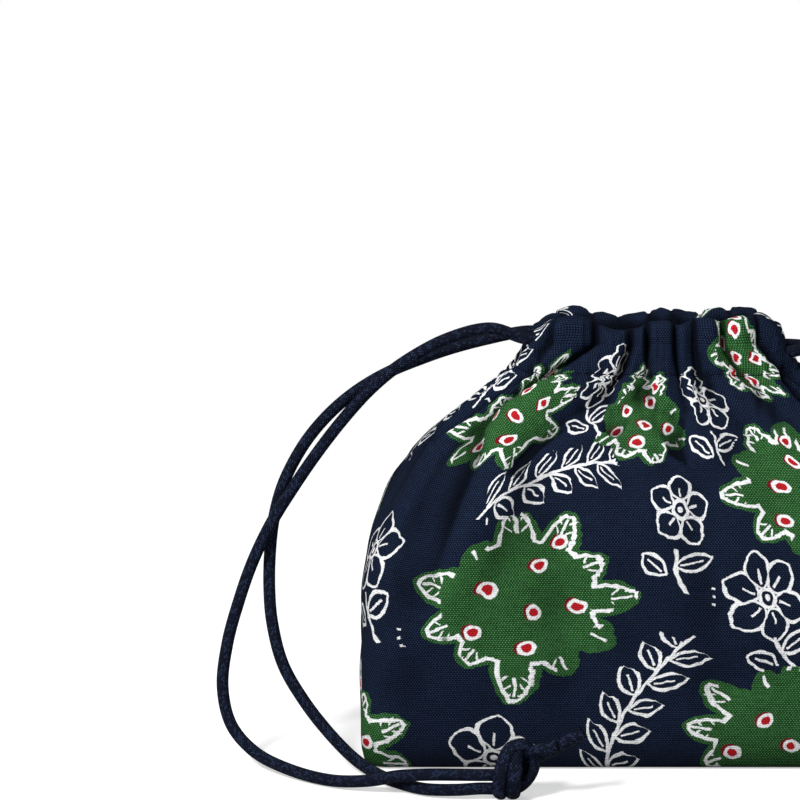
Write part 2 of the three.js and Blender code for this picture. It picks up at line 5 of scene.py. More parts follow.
import bpy
import numpy as np
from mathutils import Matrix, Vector


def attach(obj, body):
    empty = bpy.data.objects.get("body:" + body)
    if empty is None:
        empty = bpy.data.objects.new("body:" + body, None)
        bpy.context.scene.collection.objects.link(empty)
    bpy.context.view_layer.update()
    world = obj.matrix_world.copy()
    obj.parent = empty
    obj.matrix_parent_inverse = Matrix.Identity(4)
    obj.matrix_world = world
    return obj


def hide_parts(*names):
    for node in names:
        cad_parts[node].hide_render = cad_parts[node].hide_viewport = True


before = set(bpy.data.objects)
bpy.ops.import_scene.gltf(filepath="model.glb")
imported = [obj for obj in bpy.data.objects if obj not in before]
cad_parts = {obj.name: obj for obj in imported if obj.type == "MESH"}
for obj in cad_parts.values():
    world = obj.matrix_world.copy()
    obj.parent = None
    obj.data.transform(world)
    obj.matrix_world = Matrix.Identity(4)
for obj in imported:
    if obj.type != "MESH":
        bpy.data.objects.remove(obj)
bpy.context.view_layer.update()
MM = 0.001

# Camera
CAMERA_ELEVATION = math.radians(12)
CAMERA_DISTANCE = 1.5
CAMERA_TARGET = np.array([-0.085, 0.0, 0.11541])
LENS_MM = 203.53
SENSOR_MM = 36.0

camera_data = bpy.data.cameras.new("camera")
camera_data.lens = LENS_MM
camera_data.sensor_width = SENSOR_MM
camera_data.clip_end = 20
camera = bpy.data.objects.new("camera", camera_data)
camera.location = CAMERA_TARGET + CAMERA_DISTANCE * np.array(
    [0, -math.cos(CAMERA_ELEVATION), math.sin(CAMERA_ELEVATION)]
)
camera.rotation_euler = (math.pi / 2 - CAMERA_ELEVATION, 0, 0)
bpy.context.scene.collection.objects.link(camera)
bpy.context.scene.camera = camera


# Node helpers
def new_node(tree, kind, settings=None, **inputs):
    """New node with its inputs filled, each by name or by number as in _0."""
    node = tree.nodes.new(kind)
    for name, value in (settings or {}).items():
        setattr(node, name, value)
    for name, value in inputs.items():
        put(tree, value, node.inputs[int(name[1:]) if name[0] == "_" else name])
    return node


def put(tree, value, socket):
    if isinstance(value, Field):
        tree.links.new(value.socket, socket)
    elif isinstance(value, bpy.types.NodeSocket):
        tree.links.new(value, socket)
    elif socket.type == "VECTOR" and len(value) == 4:
        socket.default_value = value[:3]
    else:
        socket.default_value = value


class Field:
    """A number that a material works out, with plain arithmetic on it."""

    def __init__(self, tree, socket):
        self.tree = tree
        self.socket = socket

    def math(self, operation, *others):
        inputs = {f"_{i}": value for i, value in enumerate((self, *others))}
        node = new_node(self.tree, "ShaderNodeMath", {"operation": operation}, **inputs)
        return Field(self.tree, node.outputs[0])

    def __rsub__(self, other):
        return self.math("MULTIPLY", -1.0).math("ADD", other)

    def below(self, edge, soft):
        """1 under the edge, 0 over it, with a soft step of that width."""
        node = new_node(self.tree, "ShaderNodeMapRange", Value=self, **{
            "From Min": edge, "From Max": edge + soft, "To Min": 1.0, "To Max": 0.0})
        return Field(self.tree, node.outputs["Result"])

    def within(self, reach, soft):
        """1 within that reach of zero on either side, 0 past it."""
        return self.abs().below(reach, soft)


def field_method(operation):
    return lambda field, *others: field.math(operation, *others)


for method_name, operation in {
    "__add__": "ADD", "__radd__": "ADD", "__sub__": "SUBTRACT", "__mul__": "MULTIPLY",
    "__rmul__": "MULTIPLY", "__truediv__": "DIVIDE", "abs": "ABSOLUTE", "min": "MINIMUM",
    "max": "MAXIMUM", "sin": "SINE", "cos": "COSINE", "power": "POWER", "floor": "FLOOR",
    "fraction": "FRACT",
}.items():
    setattr(Field, method_name, field_method(operation))


def uv_fields(tree, name):
    uv = new_node(tree, "ShaderNodeUVMap", {"uv_map": name}).outputs[0]
    split = new_node(tree, "ShaderNodeSeparateXYZ", _0=uv)
    return Field(tree, split.outputs[0]), Field(tree, split.outputs[1]), uv


def attribute_field(tree, name):
    node = new_node(tree, "ShaderNodeAttribute", {"attribute_name": name})
    return Field(tree, node.outputs["Fac"])


def vector_of(tree, x, y):
    return new_node(tree, "ShaderNodeCombineXYZ", X=x, Y=y).outputs[0]


def noise_field(tree, vector, scale, detail=2.0, roughness=0.5):
    node = new_node(tree, "ShaderNodeTexNoise", Vector=vector, Scale=scale, Detail=detail,
                    Roughness=roughness)
    return Field(tree, node.outputs["Fac"])


def cell_field(tree, vector):
    """A number from 0 to 1, the same wherever the vector is the same."""
    return Field(tree, new_node(tree, "ShaderNodeTexWhiteNoise", Vector=vector).outputs["Value"])


def distance_field(tree, vector, centre):
    node = new_node(tree, "ShaderNodeVectorMath", {"operation": "DISTANCE"}, _0=vector,
                    _1=(*centre, 0))
    return Field(tree, node.outputs["Value"])


def blend_colour(tree, factor, first, second):
    node = new_node(tree, "ShaderNodeMix", {"data_type": "RGBA"}, Factor=factor, _6=first, _7=second)
    return node.outputs[2]


def shade_colour(tree, colour, strength):
    """Colour times a strength."""
    node = new_node(tree, "ShaderNodeVectorMath", {"operation": "SCALE"}, _0=colour, Scale=strength)
    return node.outputs[0]


def linear(red, green, blue):
    """Colour from 0 to 255, as a screen shows it, to linear numbers."""
    def one(v):
        v /= 255
        return v / 12.92 if v <= 0.04045 else ((v + 0.055) / 1.055) ** 2.4
    return (one(red), one(green), one(blue), 1.0)


def new_material(name):
    material = bpy.data.materials.new(name)
    material.use_nodes = True
    tree = material.node_tree
    return material, tree, tree.nodes["Principled BSDF"]


def set_surface(tree, shader, colour, roughness, specular, height, depth, strength=1.0):
    """Colour, gloss and bump. height is a field, and depth the metres that it stands for."""
    bump = new_node(tree, "ShaderNodeBump", Strength=strength, Distance=depth, Height=height)
    for name, value in (("Base Color", colour), ("Roughness", roughness),
                        ("Specular IOR Level", specular), ("Normal", bump.outputs[0])):
        put(tree, value, shader.inputs[name])


# Mesh helpers
def new_mesh(name, vertices, faces):
    """Mesh from millimetres."""
    mesh = bpy.data.meshes.new(name)
    mesh.from_pydata((np.asarray(vertices) * MM).tolist(), [], [tuple(map(int, f)) for f in faces])
    return mesh


def new_object(name, data):
    item = bpy.data.objects.new(name, data)
    bpy.context.scene.collection.objects.link(item)
    return item


def add_piece(name, vertices, faces, material, uvs=None):
    """Piece from millimetres. uvs maps a layer's name to one pair for each face corner."""
    mesh = new_mesh(name, vertices, faces)
    for layer_name, values in (uvs or {}).items():
        layer = mesh.uv_layers.new(name=layer_name)
        layer.data.foreach_set("uv", np.asarray(values, np.float32).ravel())
    mesh.polygons.foreach_set("use_smooth", [True] * len(mesh.polygons))
    mesh.materials.append(material)
    piece = new_object(name, mesh)
    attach(piece, "root")
    return piece


def unit(v):
    return v / np.maximum(np.linalg.norm(v, axis=-1, keepdims=True), 1e-12)


def smoothstep(low, high, at):
    t = np.clip((at - low) / (high - low), 0, 1)
    return t * t * (3 - 2 * t)


CORNER_STEPS = ((0, 0), (1, 0), (1, 1), (0, 1))


def grid_corners(rows, columns):
    """Row and column of the four corners of each square of a grid that closes round."""
    row, column = np.divmod(np.arange((rows - 1) * columns), columns)
    return [(row + up, column + across) for across, up in CORNER_STEPS]


def grid_faces(rows, columns):
    corners = grid_corners(rows, columns)
    return np.stack([row * columns + column % columns for row, column in corners], axis=1).tolist()


def grid_pairs(across, up):
    """A pair for each corner of each square. across has one place more than there are columns."""
    corners = grid_corners(len(up), len(across) - 1)
    pairs = [np.stack([across[column], up[row]], 1) for row, column in corners]
    return np.stack(pairs, axis=1).reshape(-1, 2)


def add_shape(vertices, faces, more_vertices, more_faces):
    """Adds one more shape to the vertices and faces of a piece."""
    faces += [[v + len(vertices) for v in face] for face in more_faces]
    vertices += more_vertices.tolist()


def lengths_along(line):
    steps = np.linalg.norm(np.diff(line, axis=0), axis=1)
    return np.concatenate([[0], np.cumsum(steps)])


def points_at(at, along, line):
    return np.stack([np.interp(at, along, line[:, k]) for k in range(3)], axis=1)


# Cord routes
CORD_DIAMETER = 4.0
BODY_HEIGHT = 146.0
CASING_HEIGHT = 20.0
CASING_MIDDLE = BODY_HEIGHT - CASING_HEIGHT / 2
MOUTH_GAP = 5.4
TUBE_DEPTH = 6.4
CORD_OFFSET = MOUTH_GAP / 2 + TUBE_DEPTH / 2
HALF_MOUTH_WIDTH = 39.5
HALF_MOUTH_DEPTH = MOUTH_GAP / 2 + TUBE_DEPTH
EAR_X = HALF_MOUTH_WIDTH - 1
JOINT_GAP = 0.3
STRAIGHT_EXIT = 5.0
KNOT_LEAD = 3.0
LOOP_INSET = 10.5
LEFT_CORD_LEVEL = CASING_MIDDLE - 0.8 + 2.2
RIGHT_CORD_LEVEL = CASING_MIDDLE - 0.8 - 2.2

LEFT_FRONT_ROUTE = [
    (-55, -7, 141), (-69, -8.5, 138), (-83.5, -10.5, 130.5), (-94, -13, 122.5),
    (-103.5, -15.8, 112.5), (-112.6, -18.3, 101), (-121, -21.2, 89), (-127.6, -23.6, 78.5),
    (-133.4, -25.6, 66.5), (-138, -27, 53.5), (-141.8, -28.5, 39.5), (-143.4, -30, 25),
    (-140.6, -33.5, 13.5), (-133.2, -39.5, 6.2), (-121.6, -49, 2.8), (-107, -60, 2.2),
    (-94.4, -66, 4), (-85.6, -69, 6.4), (-76.3, -71.5, 7.6), (-66.7, -72.6, 7.9),
]
LEFT_BACK_ROUTE = [
    (-56.5, 5, 135), (-68, 2, 132.5), (-78, -2, 129.8), (-89, -6, 126), (-98.2, -8, 121),
    (-106.7, -10, 114.5), (-114.2, -12, 106.5), (-119.8, -13.6, 98), (-124, -15.5, 89),
    (-126.6, -17.8, 79), (-127.8, -20.5, 68.5), (-128, -24, 57), (-127, -28, 46.5),
    (-123.5, -31.5, 33.5), (-116.8, -35, 22.3), (-108.4, -39, 12.2), (-100, -44.5, 5),
    (-92.6, -53, 2.4), (-85, -63, 2.2), (-77, -69.5, 2.2), (-67, -72.4, 2.8),
]
RIGHT_FRONT_ROUTE = [
    (56, -7, 136), (70, -9, 135), (84.5, -11.5, 130), (99, -14, 120.5), (112, -16.5, 107.5),
    (123, -19, 92), (131.5, -21, 75), (138, -22.5, 57.5), (142, -24.5, 40), (143, -28, 24.5),
    (140.5, -34, 12), (135, -43, 4.8), (127, -54.5, 2.4), (117.5, -66, 3), (108.5, -75, 5.2),
    (99, -82, 7.2), (90, -86.5, 7.9),
]
RIGHT_BACK_ROUTE = [
    (56, 5.5, 132), (68.5, 3.5, 130), (81.5, 0.5, 126), (94, -3, 119), (105.5, -6.5, 109.5),
    (115, -9.5, 97.5), (122.5, -12.5, 84), (127.5, -15.5, 69.5), (130.5, -18.5, 55),
    (131.5, -22, 40.5), (130, -26, 27), (126, -31, 15), (119.5, -38, 6.3), (112, -48, 2.4),
    (106, -60, 2.2), (100, -73, 2.2), (91, -84.5, 2.7),
]
LEFT_KNOT_PLACE = (-47.5, -73, 5.6)
RIGHT_KNOT_PLACE = (72, -88.5, 5.6)
KNOT_LONG_STRAND = [
    (-8.5, 0.3, 2.25), (-6.5, 0.4, 2.25), (-3.4, 1.8, 2.3), (0.2, 3, 2.2), (3.6, 3.4, 4.2),
    (4.9, 3.2, 8), (3.4, 2.2, 11.6), (0.9, -0.6, 12.7), (-0.5, -3.6, 10.6), (-0.7, -5, 6),
    (-1.3, -5.1, 0.8), (-1.4, -2.8, -3.2), (-1, 1.6, -3.3), (-0.4, 5.6, -0.8), (0.2, 7, 3.6),
    (1.8, 4.6, 6.9), (5, 0.6, 7.8), (9, -1, 9.8), (15, -1.6, 13.4), (21, -2, 17),
]
KNOT_SHORT_STRAND = [
    (-8.5, 0.3, -2.25), (-6.5, 0.3, -2.25), (-3.4, 0, -2.2), (0.2, -0.4, -1.7), (3.6, -0.8, 1.2),
    (5.6, -1, 5.2), (5.2, -1.4, 9.6), (2.4, -2.2, 12.9), (-1.7, -3.4, 12.6), (-4.5, -4.6, 8),
    (-5.7, -4.8, 2.4), (-5.8, -3, -2.9), (-5.2, 1.4, -3.3), (-4.4, 5.2, -0.6), (-3.4, 6.2, 4.2),
    (-0.6, 3.8, 8.2), (3.2, -1.4, 10.4), (7.6, -4, 11.9), (12.6, -4.6, 13.5),
]


SPLINE_STEPS = 40


def spline(points, step):
    """Smooth line through the points, resampled about every step, as in the solids."""
    p = np.array(points, float)
    p = np.vstack([2 * p[0] - p[1], p, 2 * p[-1] - p[-2]])
    line = []
    for i in range(1, len(p) - 2):
        a, b, c, d = p[i - 1:i + 3]
        t0, t1, t2 = (max(np.linalg.norm(v) ** 0.5, 1e-4) for v in (b - a, c - b, d - c))
        m1 = ((b - a) / t0 - (c - a) / (t0 + t1) + (c - b) / t1) * t1
        m2 = ((c - b) / t1 - (d - b) / (t1 + t2) + (d - c) / t2) * t1
        t = np.linspace(0, 1, SPLINE_STEPS, endpoint=False)[:, None]
        line.append(b * (2 * t**3 - 3 * t**2 + 1) + m1 * (t**3 - 2 * t**2 + t)
                    + c * (-2 * t**3 + 3 * t**2) + m2 * (t**3 - t**2))
    line = np.vstack([*line, p[-2:-1]])
    along = lengths_along(line)
    count = max(2, int(round(along[-1] / step)) + 1)
    return points_at(np.linspace(0, along[-1], count), along, line)


def frames_along(line):
    """Tangents, and two side directions that turn as little as they can."""
    tangents = unit(np.gradient(line, axis=0))
    side = np.cross(tangents[0], [0.0, 0.0, 1.0])
    if np.linalg.norm(side) < 1e-3:
        side = np.cross(tangents[0], [0.0, 1.0, 0.0])
    sides = []
    for t in tangents:
        side = side - t * np.dot(side, t)
        side = side / np.linalg.norm(side)
        sides.append(side)
    sides = np.array(sides)
    return tangents, sides, np.cross(tangents, sides)


CORD_SIDES = 20
CAP_TURN = 0.5
KNOT_FLATTEN = 0.16
KNOT_WIDEN = 0.2
OVERLAP = 2.0


def tube(line, radius, start_length=0.0, sides=CORD_SIDES, pressed=None):
    """Vertices, faces and cord coordinates (turn from 0 to 1, millimetres along) of a round tube.

    pressed is a place, and a share for each point: how far the tube is flattened towards it.
    """
    radius = np.broadcast_to(radius, len(line))
    tangents, first, second = frames_along(line)
    turn = (np.arange(sides) / sides * 2 * math.pi)[None, :, None]
    ring = first[:, None] * np.cos(turn) + second[:, None] * np.sin(turn)
    if pressed is not None:
        place, share = pressed
        out = line - place
        out = unit(out - tangents * (out * tangents).sum(axis=1, keepdims=True))
        wide = np.cross(tangents, out)
        for direction, change in ((out, -KNOT_FLATTEN), (wide, KNOT_WIDEN)):
            reach = (ring * direction[:, None]).sum(axis=2, keepdims=True)
            ring = ring + direction[:, None] * reach * (change * share)[:, None, None]
    vertices = (line[:, None] + ring * radius[:, None, None]).reshape(-1, 3)
    along = start_length + lengths_along(line)
    faces = grid_faces(len(line), sides)
    uv = grid_pairs(np.arange(sides + 1) / sides, along)
    last = len(line) - 1
    for k, order in ((0, range(sides - 1, -1, -1)), (last, range(sides))):
        faces.append([k * sides + i for i in order])
        uv = np.vstack([uv, [(CAP_TURN, along[k])] * sides])
    return vertices, faces, uv


def cut_end(line):
    """The line with its last bit folded back inside, and the radii of such a hollow cut end."""
    ahead = unit(line[-1] - line[-2])
    shares = np.array([[0.0, 0.97], [-0.05, 0.78], [-0.7, 0.6], [-1.6, 0.42]])
    extra = line[-1] + ahead * shares[:, :1]
    radii = np.concatenate([np.full(len(line), 1.0), shares[:, 1]]) * CORD_DIAMETER / 2
    return np.vstack([line, extra]), radii


def loop_route(toward, level, end_x):
    turn_x = HALF_MOUTH_WIDTH - LOOP_INSET
    points = [(-end_x, -CORD_OFFSET), (-turn_x * 0.5, -CORD_OFFSET), (turn_x * 0.3, -CORD_OFFSET),
              (turn_x * 0.8, -CORD_OFFSET)]
    ends = points[::-1]
    for quarter in range(5):
        turn = -math.pi / 2 + quarter * math.pi / 4
        points.append((turn_x + CORD_OFFSET * math.cos(turn), CORD_OFFSET * math.sin(turn)))
    points += [(x, CORD_OFFSET) for x, _ in ends]
    return [(toward * x, y, level) for x, y in points]


# Shape of the cloth
BODY_WIDTH = 195.6
BASE_DEPTH = 82.0
BELLY_DEPTH = 90.0
CORNER_RADIUS = 24.0
BASE_CORNER_RADIUS = 8.0
BOTTOM_ROUNDING = 2.0
CLOTH_THICKNESS = 1.5
CASING_BOTTOM = BODY_HEIGHT - CASING_HEIGHT
NOTCH_DEPTH = 2.5
NOTCH_WIDTH = 3.0
MOUTH_MIX_START = 0.42
ROLL_SHARPNESS = 1.6
VALLEY_DEPTH = 4.2
VALLEY_FULL_RISE = 1.6
VALLEY_TIGHTNESS = 0.42
VALLEY_FLOOR = -0.3
VALLEY_END = (6, 12)
RIM_VALLEY_DIP = 1.8
RIM_FULL_FOLD = 4
STEEPEST_CLOTH = 2.2
NORMAL_STEP = 1 / 30
CREASE_DEEPER = 1.35

WIDTH_PROFILE = [
    (0, 1), (0.2, 1), (0.36, 0.995), (0.49, 0.955), (0.6, 0.865), (0.69, 0.735), (0.77, 0.555),
    (0.85, 0.315), (0.92, 0.12), (1, 0),
]
DEPTH_PROFILE = [
    (0.15, 0.965), (0.33, 1), (0.49, 0.97), (0.6, 0.88), (0.69, 0.74), (0.77, 0.55), (0.85, 0.3),
    (0.92, 0.11), (1, 0),
]
FRONT_RIM = [
    (-39, 5), (-34, 1.2), (-29, 0), (-24, 0.6), (-19, 3.4), (-13, 5), (-6.5, 4.2), (-2, 1.9),
    (3, 1.9), (6.4, 3.2), (9, 2.4), (12.5, 0.8), (16, 0.6), (20, 1.9), (24, 0.8), (28, 0), (33, 0),
    (36, 1.6), (39, 4.6),
]
BACK_RIM = [
    (-39, 5), (-33, 1.2), (-26, 0.2), (-20, 1.6), (-14, 2.4), (-8, 3), (-2, 1.2), (5, 0.4),
    (11, 2.2), (18, 1), (26, 0.2), (33, 0.8), (39, 4.6),
]
# Rolls: path, rise at its start and end, tightness to the left and to the right
FRONT_ROLLS = [
    ([(-38, 148), (-38.5, 136), (-44, 129), (-56, 121.5), (-68, 114), (-80, 105)],
     (5.5, 1.2), (2.6, 8), (2.4, 6)),
    ([(-20.5, 148), (-21.5, 141), (-31, 135), (-44, 127), (-57, 119), (-69, 111.5), (-79, 103.5),
      (-86, 95), (-91, 84)], (5.5, 1), (2.4, 12), (2.4, 9)),
    ([(-12, 148), (-12.5, 140), (-17.5, 131.5), (-33, 121.5), (-47, 112.5), (-54, 104.5),
      (-61, 90.5), (-66, 77), (-70, 66)], (6, 2.4), (2.2, 11), (2.6, 26)),
    ([(-6, 140), (-9, 127), (-12, 120), (-15, 113)], (4.6, 2.2), (2, 6), (2, 6)),
    ([(-48, 99), (-31, 109), (-13, 112.5), (1, 110.5), (14, 105)], (1, 2.6), (7, 9), (7, 9)),
    ([(-1, 148), (0.8, 131.5), (2, 120), (4, 111), (7, 99)], (5.6, 0.4), (2.6, 9), (2.6, 9)),
    ([(7.9, 148), (8, 131.5), (10, 121.5), (12, 115)], (4.8, 0.4), (1.5, 3), (1.5, 3)),
    ([(14, 148), (15.5, 139), (18, 130), (22.5, 123), (28, 116.5), (37, 107)],
     (6.2, 0.8), (1.8, 5), (2, 8)),
    ([(22, 148), (24, 139), (29, 131.5), (35.5, 125.5), (43, 119.5), (55, 110)],
     (5.4, 0.8), (2.2, 8), (2.2, 10)),
    ([(34, 148), (35.5, 141), (39, 136), (43, 131), (51, 124.5), (63, 116.5), (78, 105)],
     (5.8, 1.2), (2.4, 8), (2.6, 8)),
    ([(44, 126), (54, 117), (66, 107), (74, 96), (79, 82)], (2.6, 1.2), (5, 20), (4, 9)),
]
BACK_ROLLS = [
    ([(-37, 148), (-39, 136), (-46, 128.5), (-58, 120), (-72, 109), (-84, 96)],
     (5.6, 1), (2.6, 9), (2.4, 8)),
    ([(-27, 148), (-28, 139), (-36, 129), (-47, 119), (-56, 107), (-62, 92)],
     (5.2, 1), (2.2, 7), (2.2, 16)),
    ([(-18, 148), (-19, 137), (-24, 126), (-31, 116), (-36, 104)], (5.6, 0.5), (2.2, 7), (2.2, 9)),
    ([(-9.5, 148), (-10, 135), (-12, 123), (-13, 111), (-12, 97)], (6, 0.5), (2.3, 8), (2.3, 8)),
    ([(-1.5, 148), (-1, 134), (0.5, 122), (3, 112)], (5, 0.4), (1.9, 5), (1.9, 6)),
    ([(6.5, 148), (7.5, 135), (11, 123), (17, 111), (24, 98)], (5.9, 0.8), (2.2, 9), (2.2, 9)),
    ([(15.5, 148), (17, 137), (23, 126), (31, 118)], (5.2, 0.4), (2.1, 6), (2.1, 6)),
    ([(25, 148), (27, 138), (35, 128), (46, 118), (57, 106), (63, 90)],
     (5.7, 1.2), (2.4, 16), (2.3, 7)),
    ([(36.5, 148), (38.5, 136), (46, 128), (60, 119), (74, 108), (86, 94)],
     (5.6, 1), (2.4, 8), (2.6, 9)),
]

# Creases: path, depth, width
FRONT_CREASES = [
    ([(-62, 103), (-69, 91), (-74, 78), (-78, 66)], 2.4, 6.5),
    ([(-8, 117), (-3, 114.5), (2, 112.5)], 2, 5),
    ([(-47, 106), (-35, 113), (-18, 117)], 1.6, 5),
    ([(7, 90), (4.5, 84), (2.5, 75), (5.5, 69), (12, 67)], 1.8, 4),
]
BACK_CREASES = [
    ([(48, 104), (52, 90), (50, 78)], 2, 6),
    ([(-20, 84), (-8, 78), (6, 80)], 1.6, 5),
]

COLUMNS = 480
HALF = COLUMNS // 2
QUARTERS = (np.arange(COLUMNS) / COLUMNS * 4)[None, :]
TURN_UNDER = 1.7
TURN_UNDER_HEIGHT = 8.0
SHARPER = 0.45
SHARPER_LIMIT = 0.7
SHARPER_BLUR = (10, 3)
VALLEY_SHADE = 0.75
VALLEY_FULL = 1.3
VALLEY_BLUR = (9, 2)
RIDGE_LIGHT = 0.12
FOOT_SHADE = 0.5
FOOT_HEIGHT = 17.0
INSIDE_SHADE = 0.7
SEAM_GROOVE = 0.45
STITCH_GROOVE = 0.5
PLEAT = 0.3
FINE_PLEAT = 0.14
WAVE = 0.8
FINE_WAVE = 0.42
FLAT_WIDTH = 559.0
WEAVE_BLUR = 5
ATLAS_SPREAD = 0.9
FAR_FROM_PRINT = 200


def profile_value(points, at):
    x, y = np.array(points, float).T
    slopes = np.diff(y) / np.diff(x)
    before, after = slopes[:-1], slopes[1:]
    same = before * after > 0
    middle = np.where(same, 2 * before * after / np.where(same, before + after, 1), 0)
    tangents = np.concatenate([slopes[:1], middle, slopes[-1:]])
    at = np.clip(at, x[0], x[-1])
    k = np.clip(np.searchsorted(x, at, side="right") - 1, 0, len(x) - 2)
    span = x[k + 1] - x[k]
    t = (at - x[k]) / span
    rest = 1 - t
    return (y[k] * (1 + 2 * t) * rest**2 + y[k + 1] * (3 - 2 * t) * t**2
            + span * (tangents[k] * t * rest**2 - tangents[k + 1] * t**2 * rest))


def half_width(z):
    rise = profile_value(WIDTH_PROFILE, z / CASING_MIDDLE)
    return HALF_MOUTH_WIDTH + (BODY_WIDTH / 2 - HALF_MOUTH_WIDTH) * rise


def half_depth(z):
    full = BELLY_DEPTH / 2 - HALF_MOUTH_DEPTH
    foot = (BASE_DEPTH / 2 - HALF_MOUTH_DEPTH) / full
    return HALF_MOUTH_DEPTH + full * profile_value([[0, foot], *DEPTH_PROFILE], z / CASING_MIDDLE)


def rectangle_point(share, a, b, radius):
    side = b - radius
    arc = math.pi * radius / 2
    run = share * (side + arc + a - radius)
    turn = np.clip((run - side) / radius, 0, math.pi / 2)
    x = a - radius + np.where(run < side + arc, radius * np.cos(turn), side + arc - run)
    y = np.where(run < side, run, side + radius * np.sin(turn))
    return x, y


def plain_point(quarter, z):
    """Point of the plain body. quarter runs from 0 to 4 round it, from the left seam on."""
    quarter = quarter % 4
    corner = np.floor(quarter).astype(int)
    along = quarter - corner
    share = np.where(corner % 2 == 0, along, 1 - along)
    a, b = half_width(z), half_depth(z)
    up_body = smoothstep(0, MOUTH_MIX_START, z / CASING_MIDDLE)
    corner_radius = BASE_CORNER_RADIUS + (CORNER_RADIUS - BASE_CORNER_RADIUS) * up_body
    square = rectangle_point(share, a, b, np.minimum(corner_radius, b))
    round_ended = rectangle_point(share, a, b, np.minimum(a, b))
    mix = smoothstep(MOUTH_MIX_START, 1, z / CASING_MIDDLE)
    x, y = (s + (r - s) * mix for s, r in zip(square, round_ended))
    left = (corner == 0) | (corner == 3)
    return np.stack([np.where(left, -x, x), np.where(corner < 2, -y, y), z + 0 * x], axis=-1)


def plain_normal(quarter, z):
    around = plain_point(quarter + NORMAL_STEP, z) - plain_point(quarter - NORMAL_STEP, z)
    top = np.minimum(z + 1, CASING_MIDDLE + 1)
    up = plain_point(quarter, top) - plain_point(quarter, top - 2)
    return unit(np.cross(around, up))


def nearest_on_path(path, s, z):
    best = np.full(s.shape, np.inf)
    share = np.zeros(s.shape)
    side = np.ones(s.shape)
    for i, ((s0, z0), (s1, z1)) in enumerate(zip(path, path[1:])):
        ds, dz = s1 - s0, z1 - z0
        t = np.clip(((s - s0) * ds + (z - z0) * dz) / (ds * ds + dz * dz), 0, 1)
        off_s, off_z = s - s0 - t * ds, z - z0 - t * dz
        distance = np.hypot(off_s, off_z)
        nearer = distance < best
        best = np.where(nearer, distance, best)
        share = np.where(nearer, (i + t) / (len(path) - 1), share)
        side = np.where(nearer, off_s * -dz + off_z * ds, side)
    return share, side, best


def roll_height(rolls, s, z, seam):
    total = np.ones(s.shape)
    highest = np.zeros(s.shape)
    second = np.zeros(s.shape)
    for path, rise, left, right in rolls:
        share, side, distance = nearest_on_path(path, s, z)
        start = np.where(side < 0, left[0], right[0])
        end = np.where(side < 0, left[1], right[1])
        height = rise[0] + (rise[1] - rise[0]) * share
        height = height - distance**2 / (2 * (start + (end - start) * share))
        total += np.exp(ROLL_SHARPNESS * np.maximum(height, -40))
        second = np.maximum(second, np.minimum(height, highest))
        highest = np.maximum(highest, height)
    valley = VALLEY_DEPTH * np.exp(-VALLEY_TIGHTNESS * (highest - second))
    valley = valley * smoothstep(0, VALLEY_FULL_RISE, second) * smoothstep(*VALLEY_END, seam)
    return np.log(total) / ROLL_SHARPNESS - valley


def crease_depth(creases, s, z):
    total = np.zeros(s.shape)
    for path, depth, width in creases:
        distance = nearest_on_path(path, s, z)[2]
        total += depth * CREASE_DEEPER * np.exp(-((distance / width) ** 2))
    return total


def ruler_at(quarter, z):
    """Distance along the plain cloth from the middle of the front or back, and from a seam."""
    closed = np.linspace(0, 4, COLUMNS + 1)
    points = plain_point(closed[None, :], np.full((len(z), 1), 1.0) * z[:, None])
    steps = np.linalg.norm(np.diff(points, axis=1), axis=2)
    run = np.concatenate([np.zeros((len(z), 1)), np.cumsum(steps, axis=1)], axis=1)
    quarter_length = run[:, COLUMNS // 4][:, None]
    here = np.stack([np.interp(quarter[0], closed, row) for row in run])
    front = here <= 2 * quarter_length
    from_middle = np.where(front, here - quarter_length, here - 3 * quarter_length)
    seam = np.where(front, np.minimum(here, 2 * quarter_length - here),
                    np.minimum(here - 2 * quarter_length, 4 * quarter_length - here))
    return front, from_middle, np.maximum(seam, 0)


def fold_height(quarter, z_rows):
    """How far the folded cloth stands out of the plain body, by height and place round it."""
    z = z_rows[:, None] + 0 * quarter
    front, s, seam = ruler_at(quarter, z_rows)
    rolls = np.where(front, roll_height(FRONT_ROLLS, s, z, seam), roll_height(BACK_ROLLS, s, z, seam))
    creases = np.where(front, crease_depth(FRONT_CREASES, s, z), crease_depth(BACK_CREASES, s, z))
    calm = smoothstep(0, NOTCH_WIDTH * 1.6, seam)
    notch = NOTCH_DEPTH * np.exp(-((seam / NOTCH_WIDTH) ** 2)) * smoothstep(
        CASING_BOTTOM - CASING_HEIGHT * 0.8, CASING_BOTTOM, z)
    return np.maximum(rolls - creases, VALLEY_FLOOR) * calm - notch, s, seam


# Height rows of the cloth, closer together where it is gathered
BASE_SHARES = [0.0, 0.3, 0.6, 0.85]
SMALLEST_SHARE = 0.02
FOOT_ROWS = 6
OUTER_Z = np.concatenate([
    np.arange(5.5, 60, 2.2), np.arange(60, 98, 1.4), np.arange(98, CASING_MIDDLE - 0.3, 0.8),
    [CASING_MIDDLE],
])
INNER_Z = np.concatenate([
    np.arange(CASING_MIDDLE - 1, 100, -1.6), np.arange(98.6, 56, -3.2), np.arange(53, 8, -6.5),
])
# The top of the casing: share of the rise, share of the way in, share of the folds
TOP_TABLE = np.array([
    [0, 0, 1], [0.45, 0.03, 1], [0.8, 0.14, 0.95], [0.97, 0.34, 0.8], [1, 0.56, 0.5],
    [0.86, 0.84, 0.2], [0.5, 1, 0], [0, 1, 0],
])
TOP_ROWS = 16


